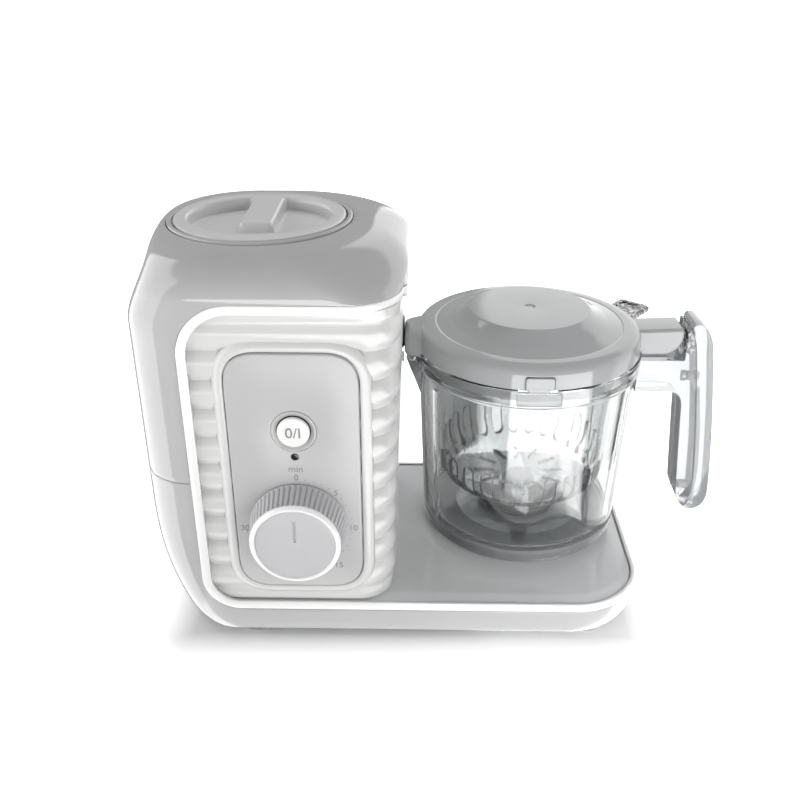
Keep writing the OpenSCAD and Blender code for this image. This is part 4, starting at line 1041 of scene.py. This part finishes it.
BASKET_Z, BASKET_WALL = 24.0, 1.8
WALL_SLOTS, FLOOR_SLOTS = 26, 12
floor_r, bend, top_r = 28.5, 16, 46.5
outer = [(0.0, BASKET_Z)] + arc(floor_r, BASKET_Z + bend, bend, -math.pi / 2, 0, 9)
inner = arc(floor_r, BASKET_Z + bend, bend - BASKET_WALL, 0, -math.pi / 2, 9)
inner.append((0.0, BASKET_Z + BASKET_WALL))
flange = [(top_r, JAR_H), (53.7, 93.05), (53.7, 94.6), (top_r - BASKET_WALL, 94.6)]
basket = finish_piece("slotted_basket", turn(outer + flange + inner, steps=120), basket_clear, "basket",
                      ["steam_basket"])
slots = bmesh.new()
for i in range(WALL_SLOTS):
    # a round bar through the wall, pulled apart upwards and downwards into a slot 19 mm tall
    made = bmesh.ops.create_cone(slots, cap_ends=True, segments=20, radius1=0.0032, radius2=0.0032,
                                 depth=0.03)["verts"]
    swing(slots, made, math.pi / 2, "Y")
    for v in made:
        if abs(v.co.z) > MERGE / 10:
            v.co.z += math.copysign(0.0065, v.co.z)
    bmesh.ops.translate(slots, verts=made, vec=(0.048, 0, 0.0375))
    swing(slots, made, 2 * math.pi * (i + 0.5) / WALL_SLOTS, "Z")
for i in range(FLOOR_SLOTS):
    made = bmesh.ops.create_cube(slots, size=1)["verts"]
    bmesh.ops.scale(slots, verts=made, vec=(0.011, 0.0018, 0.01))
    bmesh.ops.translate(slots, verts=made, vec=(0.019, 0, 0.025))
    swing(slots, made, 2 * math.pi * i / FLOOR_SLOTS, "Z")
bmesh.ops.translate(slots, verts=slots.verts, vec=at(0, 0, 0))
# the slots' cut faces take the painted shade of a clear wall's edge
carve(basket, [slots], lining=painted_shade_slot_edge)

# ---- Blades ----

hub = soften([(0, 10.5), (21, 10.5, 1), (22.5, 12.4, 1), (15, 13.8, 3), (9.6, 15.2, 1.5), (9.0, 15.5),
              (9.0, 20.4, 0.6), (6.8, 22.4, 1), (0, 22.6)], steps=4)
finish_piece("blade_hub_dome", turn(hub), dark_abs_and_gap_shade, "blade_unit", ["blade_hub"])

# ---- CAD nodes that stay, each with its own finish ----

finishes = {
    zinc_steel: ["bottom_screws", "rear_screws", "interlock_switch", "motor_can", "dial_shaft"],
    brushed_steel: ["blades", "steam_outlet", "drive_spindle"],
    cast_aluminium: ["boiler", "motor_bracket", "motor_pulley"],
    bronze: ["spindle_bearing", "blade_bush"],
    copper_wire: ["motor_rotor"],
    dark_abs_and_gap_shade: ["timer_unit", "switch_unit", "button_stem", "driven_pulley", "drive_dog", "blade_socket",
               "bottom_plate"],
    black_rubber: ["cord_gland", "tank_seal", "drive_belt", "outlet_gasket"],
    white_abs: ["rear_cover", "water_tank"],
    silicone: ["feed_tube", "steam_tube"],
    grey_rubber: ["rubber_feet"],
    board_green: ["circuit_board"],
    deck_abs: ["jar_seat"],
}
for material, names in finishes.items():
    for name in names:
        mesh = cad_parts[name].data
        mesh.materials.clear()
        mesh.materials.append(material)

# ---- Studio ----


def lamp(name, place, target, size, power, size_y=None):
    """A soft box that no glossy surface mirrors; the cards further down are mirrored instead."""
    light = bpy.data.lights.new(name, "AREA")
    light.shape = "RECTANGLE"
    light.size = size
    light.size_y = size_y or size
    light.energy = power
    lamp_object = add_object(name, light)
    lamp_object.location = place
    lamp_object.rotation_euler = (Vector(target) - Vector(place)).to_track_quat("-Z", "Y").to_euler()
    lamp_object.visible_glossy = False


lamp("left_softbox", (-1.2, -0.5, 0.35), (0, 0, 0.1), 0.9, 8.5)
lamp("right_softbox", (0.75, -1.05, 0.3), (0, 0, 0.05), 0.6, 5.5, 0.7)
lamp("top_softbox", (0.2, 0.85, 1.2), (0, 0, 0), 1.1, 9)
# a narrow beam that lifts the front edge of the deck
lamp("deck_card", (0.36, -0.38, 0.3), (0.1, -0.085, 0.025), 0.08, 0.03)
bpy.data.lights["deck_card"].spread = math.radians(28)


def between(tree, value, low, low_full, high_full, high):
    """1 from low_full to high_full, fading to 0 at low and at high."""
    rise = node(tree, "MapRange", [("Value", value), ("From Min", low), ("From Max", low_full)])
    fall = node(tree, "MapRange", [("Value", value), ("From Min", high), ("From Max", high_full)])
    return node(tree, "Math", [(0, rise.outputs["Result"]), (1, fall.outputs["Result"])],
                operation="MULTIPLY").outputs["Value"]


def card(tree, way, middle, half, top):
    """1 where a direction meets a white card: its middle and its half width in degrees, from
    the front towards the right, and the height of its top edge."""
    side_fade, top_fade = 0.008, 0.03
    flat = node(tree, "VectorMath", [(0, way), (1, (1, 1, 0))], operation="MULTIPLY").outputs["Vector"]
    unit = node(tree, "VectorMath", [(0, flat)], operation="NORMALIZE").outputs["Vector"]
    a = math.radians(middle)
    near = node(tree, "VectorMath", [(0, unit), (1, (math.sin(a), -math.cos(a), 0))],
                operation="DOT_PRODUCT").outputs["Value"]
    edge = math.cos(math.radians(half))
    inside = node(tree, "MapRange", [("Value", near), ("From Min", edge - side_fade),
                                     ("From Max", edge + side_fade)])
    height = node(tree, "SeparateXYZ", [("Vector", way)]).outputs["Z"]
    under = node(tree, "MapRange", [("Value", height), ("From Min", top + top_fade),
                                    ("From Max", top - top_fade)])
    return node(tree, "Math", [(0, inside.outputs["Result"]), (1, under.outputs["Result"])],
                operation="MULTIPLY").outputs["Value"]


def studio_light(tree, way):
    """What glossy plastic mirrors: a grey room with a white card on the left and one behind
    on the right."""
    right = node(tree, "Math", [(0, card(tree, way, 133, 44, 0.6)), (1, 1.4), (2, 0.35)],
                 operation="MULTIPLY_ADD").outputs["Value"]
    return node(tree, "Math", [(0, card(tree, way, -96, 38, 0.76)), (1, 2.5), (2, right)],
                operation="MULTIPLY_ADD").outputs["Value"]


# floor: matt white paper with hardly any highlight, wide enough to fill the view
floor_mesh = bpy.data.meshes.new("floor")
bm = bmesh.new()
bmesh.ops.create_grid(bm, x_segments=1, y_segments=1, size=6)
bm.to_mesh(floor_mesh)
bm.free()
floor = add_object("floor", floor_mesh)
floor_paint, tree, principled = new_material("white_floor_paper")
principled.inputs["Base Color"].default_value = linear("F8F8F8")
principled.inputs["Roughness"].default_value = 0.6
principled.inputs["Specular IOR Level"].default_value = 0.2
path = node(tree, "LightPath")
geometry = node(tree, "NewGeometry")
away = node(tree, "VectorMath", [(0, geometry.outputs["Position"])], operation="LENGTH").outputs["Value"]
# the lamps fade away from the object, so the paper's own glow takes over there
level = node(tree, "MapRange", [("Value", away), ("From Min", 0.22), ("From Max", 0.7), ("To Min", 0.3),
                                ("To Max", 0.95)])
# to the eye the paper's glow fades out over 35 mm towards the bottom plate's outline: a painted shadow, a
# narrow dark band round the base that deepens the lamps' own shadow there
low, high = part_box("bottom_plate")
middle = ((low[0] + high[0]) / 2, (low[1] + high[1]) / 2, 0)
half_size = ((high[0] - low[0]) / 2, (high[1] - low[1]) / 2, 1)
offset = node(tree, "VectorMath", [(0, geometry.outputs["Position"]), (1, middle)], operation="SUBTRACT")
offset = node(tree, "VectorMath", [(0, offset.outputs["Vector"])], operation="ABSOLUTE").outputs["Vector"]
offset = node(tree, "VectorMath", [(0, offset), (1, half_size)], operation="SUBTRACT").outputs["Vector"]
offset = node(tree, "VectorMath", [(0, offset), (1, (0, 0, 0))], operation="MAXIMUM").outputs["Vector"]
gap = node(tree, "VectorMath", [(0, offset)], operation="LENGTH").outputs["Value"]
painted_shadow_fade = node(tree, "MapRange", [("Value", gap), ("From Min", 0.0), ("From Max", 0.035), ("To Min", 0.0),
                                ("To Max", 1.0)])
level = node(tree, "Mix", [("Factor", path.outputs["Is Camera Ray"]), ("A", level.outputs["Result"]),
                           ("B", painted_shadow_fade.outputs["Result"])])
glow = node(tree, "Emission", [("Strength", level.outputs["Result"])])
both = node(tree, "AddShader", [(0, principled.outputs["BSDF"]), (1, glow.outputs["Emission"])])
way = node(tree, "VectorMath", [(0, geometry.outputs["Incoming"]), (1, (-1, -1, -1))],
           operation="MULTIPLY").outputs["Vector"]
# the glow is there for the eye, for diffuse light, and through clear plastic straight on;
# to the sides clear plastic shows plain paper, which darkens its edges
heading = node(tree, "SeparateXYZ", [("Vector", way)]).outputs["Y"]
backwards = node(tree, "MapRange", [("Value", heading), ("From Min", 0.3), ("From Max", 0.7)])
through = node(tree, "Math", [(0, path.outputs["Is Transmission Ray"]), (1, backwards.outputs["Result"])],
               operation="MULTIPLY").outputs["Value"]
seen = node(tree, "Math", [(0, path.outputs["Is Camera Ray"]), (1, through)], operation="MAXIMUM")
seen = node(tree, "Math", [(0, path.outputs["Is Diffuse Ray"]), (1, seen.outputs["Value"])],
            operation="MAXIMUM")
pick = node(tree, "MixShader", [(0, seen.outputs["Value"]), (1, principled.outputs["BSDF"]),
                                (2, both.outputs["Shader"])])
# two bright cards lie on the floor, a wedge in front of the jar and a strip along the base;
# only glossy faces mirror them
place = node(tree, "VectorMath", [(0, geometry.outputs["Position"]), (1, at(0, 0, 0))],
             operation="SUBTRACT")
wedge = card(tree, place.outputs["Vector"], 19, 38, 0.5)
spot = node(tree, "SeparateXYZ", [("Vector", place.outputs["Vector"])])
in_depth = between(tree, spot.outputs["Y"], -0.128, -0.122, -0.082, -0.076)
in_width = between(tree, spot.outputs["X"], -0.178, -0.172, 0.07, 0.08)
strip = node(tree, "Math", [(0, in_depth), (1, in_width)], operation="MULTIPLY").outputs["Value"]
wedge_level = node(tree, "Math", [(0, wedge), (1, 6.0)], operation="MULTIPLY").outputs["Value"]
card_level = node(tree, "Mix", [("Factor", strip), ("A", wedge_level), ("B", 1.8)]).outputs["Result"]
mirrored = node(tree, "Math", [(0, card_level), (1, studio_light(tree, way))], operation="ADD")
shine = node(tree, "Emission", [("Strength", mirrored.outputs["Value"])])
last = node(tree, "MixShader", [(0, path.outputs["Is Glossy Ray"]), (1, pick.outputs["Shader"]),
                                (2, shine.outputs["Emission"])])
tree.links.new(last.outputs["Shader"], tree.nodes["Material Output"].inputs["Surface"])
floor_mesh.materials.append(floor_paint)

world = bpy.data.worlds.new("studio")
world.use_nodes = True
bpy.context.scene.world = world
tree = world.node_tree
way = node(tree, "TexCoord").outputs["Generated"]
# the backdrop is white; to the sides the studio is dark, so clear plastic shows its edges
heading = node(tree, "SeparateXYZ", [("Vector", way)]).outputs["Y"]
room = node(tree, "MapRange", [("Value", heading), ("From Min", 0.55), ("From Max", 0.8), ("To Min", 0.3),
                               ("To Max", 0.92)])
path = node(tree, "LightPath")
seen = node(tree, "Mix", [("Factor", path.outputs["Is Glossy Ray"]), ("A", room.outputs["Result"]),
                          ("B", studio_light(tree, way))])
strength = node(tree, "Mix", [("Factor", path.outputs["Is Camera Ray"]), ("A", seen.outputs["Result"]),
                              ("B", 1.0)])
tree.links.new(strength.outputs["Result"], tree.nodes["Background"].inputs["Strength"])
tree.nodes["Background"].inputs["Color"].default_value = (1, 1, 1, 1)
bpy.context.scene.view_settings.view_transform = "Standard"
